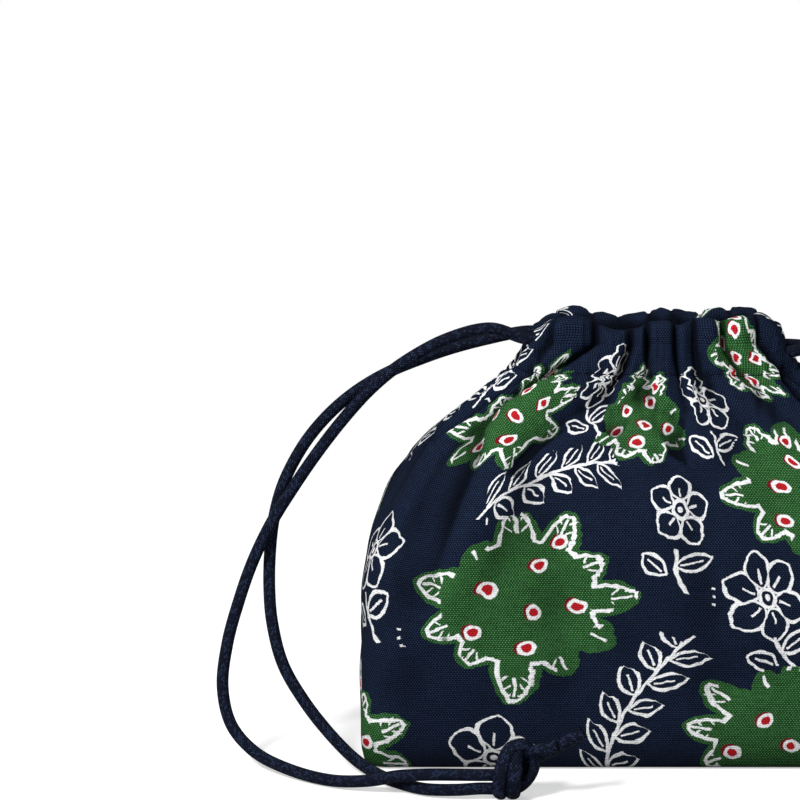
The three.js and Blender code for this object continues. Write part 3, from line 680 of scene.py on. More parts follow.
def fine_gathers(s, z, seam):
    """Small pleats between the rolls, soft waves lower down, and the grooves of the seams."""
    pleat = PLEAT * np.sin(0.95 * s + 2.2 * np.sin(0.33 * s + 1.1) + 0.16 * (z - 120))
    pleat = pleat + FINE_PLEAT * np.sin(2.1 * s + 1.7 * np.sin(0.51 * s) - 0.1 * z)
    pleat = pleat * smoothstep(98, 124, z)
    wave = WAVE * np.sin(0.083 * s + 0.06 * z + 0.9) * np.sin(0.047 * z - 0.035 * s + 0.4)
    wave = wave + FINE_WAVE * np.sin(0.19 * s - 0.11 * z + 2) * np.sin(0.13 * z + 0.07 * s)
    wave = wave * smoothstep(3, 30, z) * (1 - smoothstep(100, 125, z))
    groove = STITCH_GROOVE * np.exp(-(z - CASING_BOTTOM) ** 2)
    side_seam = SEAM_GROOVE * np.exp(-((seam / 0.8) ** 2)) * (1 - smoothstep(100, CASING_BOTTOM, z))
    return (pleat + wave - groove) * smoothstep(0, 6, seam) - side_seam


def blurred(grid, columns, rows):
    wide = sum(np.roll(grid, k, 1) for k in range(-columns, columns + 1)) / (2 * columns + 1)
    padded = np.pad(wide, ((rows, rows), (0, 0)), mode="edge")
    return sum(padded[k:k + len(grid)] for k in range(2 * rows + 1)) / (2 * rows + 1)


def turned_under(z):
    """How far the cloth draws in above the edge of the base."""
    return TURN_UNDER * np.clip(1 - z / TURN_UNDER_HEIGHT, 0, 1) ** 2


def inner_ruffle(s):
    return 0.55 * np.sin(0.62 * s + 1.4 * np.sin(0.21 * s)) + 0.4


def stood_out(z, stand):
    """Places of the plain body, moved straight out of it."""
    return plain_point(QUARTERS, z) + plain_normal(QUARTERS, z) * stand[..., None]


def base_ring(height, inset, share=1.0):
    """Level ring, drawn in from the foot of the body and then made smaller."""
    z = np.full((1, 1), float(height))
    flat = unit(plain_normal(QUARTERS, z) * [1, 1, 0])
    share = max(share, SMALLEST_SHARE)
    return (plain_point(QUARTERS, z) - flat * inset)[0] * [share, share, 1]


def outer_rows():
    """Rings of the outer cloth, and how much more each place is folded than in the solids."""
    folds, s, seam = fold_height(QUARTERS, OUTER_Z)
    z = OUTER_Z[:, None] + 0 * QUARTERS
    relief = folds - blurred(blurred(folds, *SHARPER_BLUR), *SHARPER_BLUR)
    sharpened = np.clip(relief * SHARPER, -SHARPER_LIMIT, SHARPER_LIMIT)
    sharpened = sharpened * smoothstep(55, 85, z) * (1 - smoothstep(118, 125, z))
    sharpened = sharpened * np.where(QUARTERS <= 2, smoothstep(4, 16, seam), 0)
    settle = smoothstep(BOTTOM_ROUNDING, 9, z)
    stand = (folds + sharpened + fine_gathers(s, z, seam)) * settle - turned_under(z)
    return stood_out(z, stand), sharpened


def top_rows():
    """Rings over the top of the casing."""
    level = np.array([CASING_MIDDLE])
    z = level[:, None]
    fold, s, seam = fold_height(QUARTERS, level)
    fold = fold + fine_gathers(s, z + 0 * QUARTERS, seam)
    rows = []
    for at in np.linspace(0, len(TOP_TABLE) - 1, TOP_ROWS)[1:-1]:
        rise, across, share = (np.interp(at, np.arange(len(TOP_TABLE)), c) for c in TOP_TABLE.T)
        ring = stood_out(z, fold * share - across * TUBE_DEPTH - inner_ruffle(s) * (1 - share))
        dip = np.where(QUARTERS <= 2, profile_value(FRONT_RIM, ring[..., 0]),
                       profile_value(BACK_RIM, ring[..., 0]))
        flat_share = smoothstep(0, RIM_FULL_FOLD, RIM_FULL_FOLD - fold * share)
        dip = dip + RIM_VALLEY_DIP * share * flat_share
        ring[..., 2] = CASING_MIDDLE + rise * (BODY_HEIGHT - CASING_MIDDLE - dip)
        rows.append(ring[0])
    return rows


def inner_rows(sharpened):
    """Rings down the inside, a cloth's thickness behind the outer cloth."""
    fold, s, _ = fold_height(QUARTERS, INNER_Z)
    fold = fold + np.stack([np.interp(INNER_Z, OUTER_Z, column) for column in sharpened.T], axis=1)
    z = INNER_Z[:, None] + 0 * QUARTERS
    in_tube = smoothstep(CASING_BOTTOM - CASING_HEIGHT * 0.35, CASING_BOTTOM, z)
    plain = plain_point(QUARTERS, z)
    steps = np.linalg.norm(np.roll(plain, -1, 1) - plain, axis=2)
    slope = (np.roll(fold, -1, 1) - fold) / np.maximum(steps, 1e-3)
    slope = sum(np.roll(slope, k, 1) for k in (-2, -1, 0, 1, 2)) / 5
    cloth = CLOTH_THICKNESS * np.minimum(np.sqrt(1 + slope**2), STEEPEST_CLOTH)
    inset = cloth + (TUBE_DEPTH - cloth) * in_tube
    return stood_out(z, fold * (1 - in_tube) - inset - inner_ruffle(s) * in_tube)


def cloth_rings():
    """Rings of points from the middle of the base up the outside, over and down the inside."""
    drawn_in = BOTTOM_ROUNDING + TURN_UNDER
    rings = [("base", base_ring(0, drawn_in, share)) for share in BASE_SHARES]
    for angle in np.linspace(0, math.pi / 2, FOOT_ROWS):
        z = BOTTOM_ROUNDING * (1 - math.cos(angle))
        inset = BOTTOM_ROUNDING * (1 - math.sin(angle)) + turned_under(z)
        rings.append(("outer", base_ring(z, inset)))
    outer, sharpened = outer_rows()
    for kind, rows in (("outer", outer), ("top", top_rows()), ("inner", inner_rows(sharpened))):
        rings += [(kind, ring) for ring in rows]
    for share in (1, 0.6, 0.3, 0.0):
        rings.append(("inner", base_ring(CLOTH_THICKNESS, drawn_in + CLOTH_THICKNESS, share)))
    return rings


# Print: places of the motifs on the flat cloth, in millimetres across and up.
# Each is place across, place up, kind, leaves or petals, reach, turn in degrees.
LEAVES, FLOWER, SPRIG = 0, 1, 2
DRAWN_SCALE = {LEAVES: (1.3, 1.06), FLOWER: (1.12, 1.12), SPRIG: (1.0, 1.0)}
MOTIFS = [
    (83.8, 6, FLOWER, 5, 19, -8), (21.8, 8, LEAVES, 11, 26, 30), (183.8, 13, LEAVES, 12, 29, -8),
    (235.8, 16, FLOWER, 5, 16, 20), (131.8, 24, SPRIG, 5, 20, 62), (267.8, 50, LEAVES, 11, 28, -20),
    (91.8, 60, LEAVES, 11, 30, 12), (175.8, 62, FLOWER, 6, 19, 10), (27.8, 72, FLOWER, 5, 18, 10),
    (147.8, 92, FLOWER, 5, 15, -12), (201.8, 98, LEAVES, 10, 27, 20), (95.8, 103, SPRIG, 5, 20, 20),
    (247.8, 104, SPRIG, 5, 20, -60), (53.8, 128, LEAVES, 10, 25, 40),
    (129.8, 128, LEAVES, 9, 21, 5), (171.8, 136, FLOWER, 5, 16, -10),
    (95.8, 146, FLOWER, 6, 16, 10), (215.8, 154, LEAVES, 9, 20, 10), (17.8, 160, SPRIG, 5, 20, 80),
    (354.3, 5.1, LEAVES, 10, 25, 14), (301.6, 7.9, FLOWER, 5, 19, -12),
    (489.1, 13.2, LEAVES, 11, 29, 25), (411.8, 40.5, LEAVES, 11, 28, -30),
    (524.7, 66.6, LEAVES, 9, 26, 14), (444.8, 72.7, SPRIG, 5, 20, -25),
    (299.9, 87.6, SPRIG, 6, 20, -60), (384.7, 92.2, LEAVES, 9, 26, 14),
    (331.8, 100.1, FLOWER, 6, 18, 14), (452.4, 117.7, LEAVES, 11, 29, 40),
    (547.4, 129.2, SPRIG, 5, 20, 80), (361.8, 144.9, LEAVES, 10, 27, -12),
    (297.6, 156.9, FLOWER, 5, 18, 40), (524.2, 157.1, FLOWER, 6, 19, -12),
]


def motif_coordinates(motif, across, up):
    """Coordinates of places on the flat cloth as the motif is drawn, from its middle."""
    wide, high = (sum(scale[k] * (motif[2] == kind) for kind, scale in DRAWN_SCALE.items())
                  for k in (0, 1))
    turn = np.radians(motif[5])
    x, y = (across - motif[0]) / wide, (up - motif[1]) / high
    return x * np.cos(turn) + y * np.sin(turn), y * np.cos(turn) - x * np.sin(turn)


def gap_to_motif(motif, x, y):
    """About how far a place is from the ink of a motif."""
    if motif[2] == LEAVES:
        return np.hypot(x, y) - motif[4] * 1.06
    if motif[2] == FLOWER:
        return np.maximum(np.abs(x) - 14, np.abs(y + 6) - 22)
    return np.maximum(np.abs(x) - 31, np.abs(y) - 12)


BASE_PLACE = np.array([FLAT_WIDTH / 4, -70.0])


def flat_coordinates(rings, kinds):
    """Place of each point on the flat, ungathered cloth, and its threads' place as the cloth lies.

    Both go across, and up from the edge of the base.
    """
    flat, woven = np.zeros((2, *rings.shape[:2], 2))
    above = kinds.index("outer")
    flat[:above] = woven[:above] = rings[:above, :, :2]
    flat[:above] += BASE_PLACE
    steps = np.linalg.norm(np.roll(rings[above:], -1, 1) - rings[above:], axis=2)
    rise = np.linalg.norm(np.diff(rings[above:], axis=0), axis=2).mean(axis=1)
    flat[above:, :, 1] = woven[above:, :, 1] = np.concatenate([[0], np.cumsum(rise)])[:, None]
    for start in (0, HALF):
        here = slice(start, start + HALF)
        run = np.cumsum(steps[:, here], axis=1)
        whole = run[:, -1:]
        run = run - steps[:, here]
        flat[above:, here, 0] = run / whole * FLAT_WIDTH / 2 + start * FLAT_WIDTH / COLUMNS
        middle = (2 * start / HALF + 1) * FLAT_WIDTH / 4
        woven[above:, here, 0] = blurred(run - whole / 2, 0, WEAVE_BLUR) + middle
    return flat, woven


def painted_fold_shade(rings, kinds):
    """Painted shade: the cloth's colour darker in the valleys of the folds and down at the foot,
    painted light along the ridges, and a fixed painted shade on the base and the inner rings.
    """
    z = rings[..., 2]
    level = np.clip(z, 0, CASING_MIDDLE)
    away = rings - plain_point(QUARTERS, level)
    outer = np.isin(kinds, ("outer", "top"))[:, None]
    stand = np.where(outer, (away * plain_normal(QUARTERS, level)).sum(axis=2), 0)
    hollow = blurred(blurred(stand, *VALLEY_BLUR), *VALLEY_BLUR) - stand
    shade = 1 - VALLEY_SHADE * np.clip(hollow / VALLEY_FULL, 0, 1)
    shade = shade + RIDGE_LIGHT * np.clip(-hollow / VALLEY_FULL, 0, 1)
    foot = FOOT_SHADE + (1 - FOOT_SHADE) * smoothstep(-2, FOOT_HEIGHT, z)
    return np.where(outer, shade * foot, INSIDE_SHADE)


def column_steps(row):
    """Step from each column to the next. The one over a seam is like the one before it."""
    steps = np.roll(row, -1, 0) - row
    for last in (HALF - 1, COLUMNS - 1):
        steps[last] = steps[last - 1]
    return steps


def print_corners(rings, kinds):
    """Flat and thread coordinates of the four corners of each face."""
    flat, woven = flat_coordinates(rings, kinds)
    corners, threads = [], []
    for k in range(len(rings) - 1):
        low, high = flat[k], flat[k + 1]
        if kinds[k] == "base":
            high = rings[k + 1][:, :2] + BASE_PLACE
        right_low, right_high = np.roll(low, -1, 0), np.roll(high, -1, 0)
        if kinds[k] != "base":
            right_low[-1, 0] += FLAT_WIDTH
            right_high[-1, 0] += FLAT_WIDTH
        corners.append(np.stack([low, right_low, right_high, high], axis=1))
        low, high = woven[k], woven[k + 1]
        if kinds[k] == "base":
            high = rings[k + 1][:, :2]
        right_low, right_high = low + column_steps(low), high + column_steps(high)
        threads.append(np.stack([low, right_low, right_high, high], axis=1))
    return np.concatenate(corners), np.concatenate(threads)


def nearest_motifs(centre):
    """The motif that each face belongs to, the motifs being repeated past both seams."""
    places = np.array(MOTIFS, float)
    aside = np.array([FLAT_WIDTH, 0, 0, 0, 0, 0])
    spread = np.concatenate([places, places + aside, places - aside])
    gaps = [gap_to_motif(m, *motif_coordinates(m, centre[:, 0], centre[:, 1])) for m in spread]
    return spread[np.argmin(gaps, axis=0)]


def build_cloth(print_material, lining_material):
    tagged = cloth_rings()
    kinds = [kind for kind, _ in tagged]
    rings = np.array([ring for _, ring in tagged])
    count = len(rings)
    corners, threads = print_corners(rings, kinds)
    owned = nearest_motifs(corners.mean(axis=1))
    motif = np.stack(motif_coordinates(owned.T[..., None], corners[..., 0], corners[..., 1]), axis=-1)
    up = (np.arange(count) / (count - 1)) ** ATLAS_SPREAD
    atlas = grid_pairs(np.arange(COLUMNS + 1) / COLUMNS, up) * 0.98 + 0.01
    turn = np.arange(COLUMNS) / COLUMNS * 2 * math.pi
    cap = np.stack([np.cos(turn), np.sin(turn)], 1) * 0.002 + 0.005
    bare = np.zeros((2 * COLUMNS, 2))
    uvs = {
        "OFBake": np.concatenate([atlas, cap, cap]),
        "Flat": np.concatenate([corners.reshape(-1, 2), bare]),
        "Weave": np.concatenate([threads.reshape(-1, 2), bare]),
        "Motif": np.concatenate([motif.reshape(-1, 2), bare + FAR_FROM_PRINT]),
    }
    faces = grid_faces(count, COLUMNS)
    faces += [list(range(COLUMNS))[::-1], [(count - 1) * COLUMNS + i for i in range(COLUMNS)]]
    piece = add_piece("canvas_body", rings.reshape(-1, 3), faces, print_material, uvs)
    mesh = piece.data
    mesh.materials.append(lining_material)
    inner_row = np.array([kind == "inner" for kind in kinds])
    inside = np.append(np.repeat(inner_row[1:], COLUMNS), [False, True])
    mesh.polygons.foreach_set("material_index", inside.astype(np.int32))
    # Painted shade and painted ridge light for the printed cloth's colour, one value per point
    layer = mesh.attributes.new("shade", "FLOAT", "POINT")
    layer.data.foreach_set("value", painted_fold_shade(rings, kinds).ravel().astype(np.float32))
    for name, column, plain in (("kind", 2, SPRIG), ("leaves", 3, 5), ("reach", 4, 20)):
        layer = mesh.attributes.new(name, "FLOAT", "FACE")
        layer.data.foreach_set("value", np.append(owned[:, column], [plain] * 2).astype(np.float32))
    return piece


# Materials
NAVY = linear(18, 27, 45)
GREEN = linear(43, 84, 45)
WHITE_INK = linear(240, 241, 242)
RED = linear(164, 26, 33)
DARK_RED = linear(112, 18, 30)
LINING = linear(27, 36, 56)
CORD_NAVY = linear(9, 15, 32)
# Colour of the painted glints on the cord's strand crowns
CORD_GLINT = linear(62, 80, 116)
THREAD_NAVY = linear(7, 10, 20)
TAPE_WHITE = linear(236, 236, 232)
CANVAS_PITCH = (0.47, 0.66)
TAPE_PITCH = (0.3, 0.4)
THREAD_RELIEF = 0.00025
# Strength of the painted light on the thread crowns; GAP_LIGHT is what is left in the painted shade
# of the gaps
THREAD_LIGHT = 3.7
THREAD_UNEVENNESS = 0.75
GAP_LIGHT = 0.03
PATCH_STRENGTH = 0.25
INK_MISSED = 0.5
BRAID_STRANDS = 12
BRAID_SLANT = 0.8


def weave_fields(tree, across, up, pitch=CANVAS_PITCH):
    """Height of a plain weave from 0 to 1, and how uneven its threads are."""
    u, v = across * (1 / pitch[0]), up * (1 / pitch[1])
    over = ((u.floor() + v.floor()) * 0.5).fraction().below(0.25, 0.01)
    column = (u * math.pi).sin().abs()
    row = (v * math.pi).sin().abs()
    height = column * row * (over * 0.7 + 0.3)
    along_warp = noise_field(tree, vector_of(tree, u, v * 0.1), 1.0, 1.0)
    along_weft = noise_field(tree, vector_of(tree, u * 0.07, v), 1.0, 1.0)
    dot = cell_field(tree, vector_of(tree, (u * 0.5).floor(), v.floor()))
    uneven = (along_warp - 0.5) * 0.5 + (along_weft - 0.5) * 0.8 + (dot - 0.5) * 0.35
    return height, uneven


# Half width of a drawn line and the softness of its edge, in millimetres
STROKE = (0.5, 0.2)
FINE_STROKE = (0.45, 0.2)
HAIRLINE = (0.25, 0.15)


def leaf_gap(along, across, start, end, width, blunt=0.75):
    """Signed distance across a pointed leaf along an axis, and the share of the way along it."""
    share = (along - start) / (end - start)
    bulge = (share.max(0.0).min(1.0) * math.pi).sin()
    half = bulge.power(blunt) * width
    beyond = ((share - 0.5).abs() - 0.5) * (end - start)
    return (across - half).max(beyond), share


def turned(x, y, centre, degrees):
    c, s = math.cos(math.radians(degrees)), math.sin(math.radians(degrees))
    dx, dy = x - centre[0], y - centre[1]
    return dx * c + dy * s, (dy * c - dx * s).abs()


BERRIES = [
    (-6.5, 4.4), (5.2, 8.0), (1.2, -2.6), (-11.4, -5.6), (11.8, -4.0), (-1.6, -11.5), (9.6, 13.6),
]
BERRY_REACH = 24.0
BERRY_RADIUS = 1.3
RING_RADIUS = 2.3
BERRY_SHADOW = (-0.75, 0.35)
BERRY_SHADOW_RADIUS = 2.35


def nearest_spot(tree, x, y, scale, shift=(0.0, 0.0)):
    """Distance to the nearest berry, the berries being spread as wide as the leaves reach."""
    place = vector_of(tree, (x - shift[0]) / scale, (y - shift[1]) / scale)
    nearest = None
    for berry in BERRIES:
        distance = distance_field(tree, place, berry)
        nearest = distance if nearest is None else nearest.min(distance)
    return nearest * scale


PETAL_START = 2.6
PETAL_REACH = 0.72
PETAL_WIDTH = 0.62
HEART_RADIUS = 2.5
SEED_RADIUS = 0.8
STEM_CENTRE = (24.0, -8.0)
STEM_RADIUS = 24.6
STEM_MIDDLE = -19.0
STEM_HALF_LENGTH = 6.8
STEM_LEAVES = (((1.4, -18.0), 30, 11.5), ((-0.6, -21.5), 152, 11.0))
LEAF_HALF_WIDTH = 2.9
DASH_PLACE = (13.0, -25.0)


def flower_lines(tree, x, y, along, across, radius, width, reach):
    """White lines of a flower on its stem, with two leaves and a few dashes of ground."""
    place = vector_of(tree, x, y)
    petal_gap, petal_share = leaf_gap(
        along, across, PETAL_START, reach * PETAL_REACH, width * PETAL_WIDTH)
    in_petal = (petal_share - 0.5).within(0.5, 0.03)
    lines = petal_gap.within(*STROKE) * in_petal
    lines = lines.max(across.below(0.3, 0.15) * (petal_share - 0.3).within(0.17, 0.02))
    heart = (radius - HEART_RADIUS).within(*FINE_STROKE)
    lines = lines.max(heart).max(radius.below(SEED_RADIUS, 0.2))
    stem = (distance_field(tree, place, STEM_CENTRE) - STEM_RADIUS).within(*STROKE)
    lines = lines.max(stem * (y - STEM_MIDDLE).within(STEM_HALF_LENGTH, 0.3))
    for centre, degrees, length in STEM_LEAVES:
        a, b = turned(x, y, centre, degrees)
        gap, share = leaf_gap(a, b, 0.0, length, LEAF_HALF_WIDTH)
        line = gap.within(*FINE_STROKE).max(b.below(*HAIRLINE) * (share - 0.45).within(0.3, 0.02))
        lines = lines.max(line * (share - 0.5).within(0.52, 0.02))
    dashes = ((y * 0.38).fraction() - 0.5).within(0.12, 0.06) * (y - DASH_PLACE[1]).within(3.6, 0.2)
    dashes = dashes * (x - DASH_PLACE[0] + y * 0.3).within(5.5, 0.3)
    return lines.max(dashes)


SPRIG_BOW = 0.009
SPRIG_PITCH = 10.5
SPRIG_LEAN = math.radians(52)
SPRIG_LEAF = (0.8, 12.5)
SPRIG_HALF_LENGTH = 31.0
SPRIG_BARE_END = 4.0


def sprig_lines(x, y):
    """White lines of a bowed twig with leaves along both sides."""
    bowed = y + x * x * SPRIG_BOW - 3.0
    side = bowed.below(0.0, 0.01)
    cell = x * (1 / SPRIG_PITCH) + side * 0.5
    local = (cell.fraction() - 0.28) * SPRIG_PITCH
    away = bowed.abs()
    along = local * math.cos(SPRIG_LEAN) + away * math.sin(SPRIG_LEAN)
    across = (away * math.cos(SPRIG_LEAN) - local * math.sin(SPRIG_LEAN)).abs()
    gap, share = leaf_gap(along, across, *SPRIG_LEAF, LEAF_HALF_WIDTH)
    leaf = gap.within(*FINE_STROKE) * (share - 0.5).within(0.53, 0.02)
    rib = across.below(*HAIRLINE) * (share - 0.42).within(0.26, 0.02)
    inside = x.within(SPRIG_HALF_LENGTH - SPRIG_BARE_END, 0.3)
    twig = away.below(*FINE_STROKE) * x.within(SPRIG_HALF_LENGTH, 0.3)
    return (leaf.max(rib) * inside).max(twig)


# How far the three shakes of the drawn lines move them across and up, from fine to coarse
SHAKE_REACHES = ((0.5, -0.4), (1.3, 1.0), (5.0, -4.0))
LEAF_START = 0.3
CORE_REACH = 0.72
LEAF_WIDTH = 0.74
LEAF_BLUNT = 0.55
OUTLINE_INSET = 1.9
VEIN_PITCH = 3.4


def print_fields(tree):
    """Where the green, white, red and dark red inks lie."""
    x, y, _ = uv_fields(tree, "Motif")
    flat = uv_fields(tree, "Flat")[2]
    kind = attribute_field(tree, "kind")
    leaves = attribute_field(tree, "leaves")
    reach = attribute_field(tree, "reach")
    rough = noise_field(tree, flat, 0.9, 1.0) - 0.5
    wobble = noise_field(tree, flat, 0.3, 0.0) - 0.5
    drift = noise_field(tree, flat, 0.045, 0.0) - 0.5
    for shake, (right, up) in zip((rough, wobble, drift), SHAKE_REACHES):
        x, y = x + shake * right, y + shake * up
    place = vector_of(tree, x, y)
    radius = distance_field(tree, place, (0, 0))
    angle = x.math("ARCTAN2", y)
    sector = leaves.power(-1.0) * (2 * math.pi)
    number = (angle / sector + 0.5).floor()
    off_axis = angle - number * sector
    along = radius * off_axis.cos()
    across = (radius * off_axis.sin()).abs()

    on_green, on_flower, on_sprig = (
        (kind - which).within(0.5, 0.01) for which in (LEAVES, FLOWER, SPRIG))
    tip = reach * ((number * 2.3 + 0.7).sin() * 0.09 - (number * 4.1).sin() * 0.06 + 0.97)
    width = (sector * 0.5).sin() * reach * LEAF_WIDTH
    gap, share = leaf_gap(along, across, reach * LEAF_START, tip, width, LEAF_BLUNT)
    core = radius - reach * CORE_REACH
    mass = gap.min(core) + (rough + wobble) * 0.6
    green = mass.below(0.0, 0.12) * on_green
    outline = (mass + OUTLINE_INSET).within(*STROKE)
    drawn = noise_field(tree, flat, 0.05, 0.0).below(0.58, 0.01)
    rib_zone = (share - 0.74).within(0.12, 0.02)
    rib = across.below(0.32, 0.2) * rib_zone
    vein = ((along - across * 0.9) * (1 / VEIN_PITCH)).fraction()
    veins = (vein - 0.5).within(0.09, 0.05) * rib_zone
    veins = veins * (across - width * 0.34).within(width * 0.15, 0.2)
    leaf_lines = (outline * drawn).max(rib).max(veins * drawn) * mass.below(0.0, 0.1)

    scale = reach * (1 / BERRY_REACH)
    spot = nearest_spot(tree, x, y, scale)
    ring = spot.below(RING_RADIUS, 0.25) * on_green
    red = spot.below(BERRY_RADIUS, 0.2) * on_green
    shadow = nearest_spot(tree, x, y, scale, BERRY_SHADOW)
    dark = shadow.below(BERRY_SHADOW_RADIUS, 0.2) * on_green
    white = leaf_lines * on_green
    white = white.max(flower_lines(tree, x, y, along, across, radius, width, reach) * on_flower)
    white = white.max(sprig_lines(x, y) * on_sprig)
    return green, white, ring, red, dark


def canvas_print():
    material, tree, shader = new_material("printed_canvas")
    across, up, _ = uv_fields(tree, "Weave")
    flat = uv_fields(tree, "Flat")[2]
    height, uneven = weave_fields(tree, across, up)
    green, white, ring, red, dark = print_fields(tree)
    patch = noise_field(tree, flat, 0.06, 3.0, 0.6) - 0.5
    # Thread crowns lighter and the gaps between threads darker, from the weave's height: painted
    # light and shade at the scale of the threads, with random tone from uneven threads and patches
    thread = height * THREAD_LIGHT + uneven * THREAD_UNEVENNESS + GAP_LIGHT + patch * PATCH_STRENGTH
    colour = blend_colour(tree, green, shade_colour(tree, NAVY, thread),
                          shade_colour(tree, GREEN, thread))
    colour = blend_colour(tree, dark, colour, shade_colour(tree, DARK_RED, thread))
    missed = (height + uneven * 0.5).below(0.0, 0.1)
    # White ink a little lighter on the thread crowns: painted light, with random tone
    chalk = shade_colour(tree, WHITE_INK, height * 0.2 + uneven * 0.1 + 0.9)
    colour = blend_colour(tree, white.max(ring) * (1 - missed * INK_MISSED), colour, chalk)
    colour = blend_colour(tree, red, colour, shade_colour(tree, RED, thread * 0.45 + 0.6))
    # Painted shade: the colour times the per-point shade of the fold valleys, the foot and the base,
    # with painted light on the ridges
    colour = shade_colour(tree, colour, attribute_field(tree, "shade"))
    set_surface(tree, shader, colour, 0.9, 0.05, height + uneven * 0.7, THREAD_RELIEF, 0.7)
    return material


def canvas_lining():
    material, tree, shader = new_material("canvas_reverse")
    across, up, _ = uv_fields(tree, "Weave")
    height, uneven = weave_fields(tree, across, up)
    # Thread crowns lighter and gaps darker, from the weave's height: painted light and shade, with
    # random tone
    colour = shade_colour(tree, LINING, height * 1.6 + uneven * 0.6 + 0.6)
    set_surface(tree, shader, colour, 0.92, 0.08, height + uneven * 0.7, THREAD_RELIEF, 0.7)
    return material


def braid_material():
    """Round braid: strands that cross in two directions, darker in the grooves and lighter on the
    crowns (painted shade and light), with painted glints spotted along the crowns.
    """
    material, tree, shader = new_material("braided_cord")
    turn, along, _ = uv_fields(tree, "Cord")
    first = turn * BRAID_STRANDS + along * BRAID_SLANT
    second = turn * BRAID_STRANDS - along * BRAID_SLANT
    over = ((first.floor() + second.floor()) * 0.5).fraction().below(0.25, 0.01)
    ridge = (first.fraction() * math.pi).sin() * (second.fraction() * math.pi).sin()
    fibre = noise_field(tree, vector_of(tree, turn * 60 + along * 3.0, along * 1.2), 1.0, 2.0)
    dot = cell_field(tree, vector_of(tree, first.floor(), second.floor()))
    height = ridge.power(0.6) * (over * 0.3 + 0.7)
    # Tone from the strands' height: painted shade in the grooves, painted light on the crowns, with
    # random fibre tone
    tone = height * 0.95 + (fibre - 0.5) * 0.5 + (dot - 0.5) * 0.35 + 0.42
    # Light spots on the strand crowns, spotted by the fibre noise: painted glints
    glint_spots = 1 - (dot * 0.6 + fibre * 0.4).below(0.56, 0.1)
    colour = shade_colour(tree, CORD_NAVY, tone)
    colour = blend_colour(tree, glint_spots * ridge * 0.34, colour, CORD_GLINT)
    set_surface(tree, shader, colour, 0.5, 0.08, height, 0.00035, 0.8)
    return material


def thread_material():
    material, tree, shader = new_material("sewing_thread")
    place = new_node(tree, "ShaderNodeTexCoord").outputs["Object"]
    twist = noise_field(tree, place, 2500, 2.0)
    colour = shade_colour(tree, THREAD_NAVY, twist * 0.8 + 0.6)
    set_surface(tree, shader, colour, 0.9, 0.05, twist, 0.0001)
    return material


def tape_material():
    material, tree, shader = new_material("woven_tape")
    across, up, _ = uv_fields(tree, "Flat")
    height, uneven = weave_fields(tree, across, up, TAPE_PITCH)
    # Thread crowns a little lighter and gaps darker, from the weave's height: painted light and
    # shade, with random tone
    colour = shade_colour(tree, TAPE_WHITE, height * 0.16 + uneven * 0.12 + 0.86)
    set_surface(tree, shader, colour, 0.8, 0.5, height, 0.0001, 0.6)
    return material


braid = braid_material()

# Cords and knots
CORD_STEP = 0.8
KNOT_STEP = 0.5
KNOT_CENTRE = (-1.0, 0.5, 4.5)
JOINT_THINNER = 0.06


def drawstring(name, side, level, front_route, back_route, place):
    """Two free strands, the knot of both with its cut ends, and the loop in the casing."""
    def in_knot(p):
        return (place[0] - side * p[0], place[1] + p[1], place[2] + p[2])

    start_x = side * (EAR_X + JOINT_GAP)
    strands = []
    knot_vertices, knot_faces, knot_uv = [], [], []
    for strand, route, across, knot_route in (
        ("front", front_route, -CORD_OFFSET, KNOT_LONG_STRAND),
        ("back", back_route, CORD_OFFSET, KNOT_SHORT_STRAND),
    ):
        x, y, z = knot_route[0]
        meet = [in_knot((x + step, y, z)) for step in (-JOINT_GAP - KNOT_LEAD, -JOINT_GAP, OVERLAP)]
        begin = [(start_x - side * (JOINT_GAP + OVERLAP), across, level),
                 (start_x + side * STRAIGHT_EXIT, across, level)]
        line = spline([*begin, *route, *meet], CORD_STEP)
        radius = np.full(len(line), CORD_DIAMETER / 2)
        radius[:3] = radius[-3:] = CORD_DIAMETER / 2 - JOINT_THINNER
        vertices, faces, uv = tube(line, radius)
        piece = add_piece(f"{name}_{strand}_cord", vertices, faces, braid, {"Cord": uv})
        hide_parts(f"{name}_{strand}_strand")
        length = float(lengths_along(line)[-1])
        strands.append((piece, line, length))

        knot_line = spline([in_knot(p) for p in knot_route], KNOT_STEP)
        along = np.linspace(0, 1, len(knot_line))
        share = smoothstep(0.1, 0.22, along) * (1 - smoothstep(0.66, 0.8, along))
        knot_line, radii = cut_end(knot_line)
        share = np.concatenate([share, np.zeros(len(knot_line) - len(share))])
        vertices, faces, uv = tube(knot_line, radii, length, pressed=(in_knot(KNOT_CENTRE), share))
        add_shape(knot_vertices, knot_faces, vertices, faces)
        knot_uv.append(uv)
    knot = add_piece(f"{name}_knotted_end", knot_vertices, knot_faces, braid,
                     {"Cord": np.concatenate(knot_uv)})
    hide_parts(f"{name}_knot")
    for (piece, line, length), pieces in zip(strands, ([knot], [])):
        line[0] * MM
        length * MM
        line * MM
    vertices, faces, uv = tube(spline(loop_route(-side, level, EAR_X), CORD_STEP), CORD_DIAMETER / 2)
    piece = add_piece(f"{name}_hidden_loop", vertices, faces, braid, {"Cord": uv})
    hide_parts(f"{name}_in_casing")


drawstring("left_drawstring", -1, LEFT_CORD_LEVEL, LEFT_FRONT_ROUTE, LEFT_BACK_ROUTE,
           LEFT_KNOT_PLACE)
drawstring("right_drawstring", 1, RIGHT_CORD_LEVEL, RIGHT_FRONT_ROUTE, RIGHT_BACK_ROUTE,
           RIGHT_KNOT_PLACE)


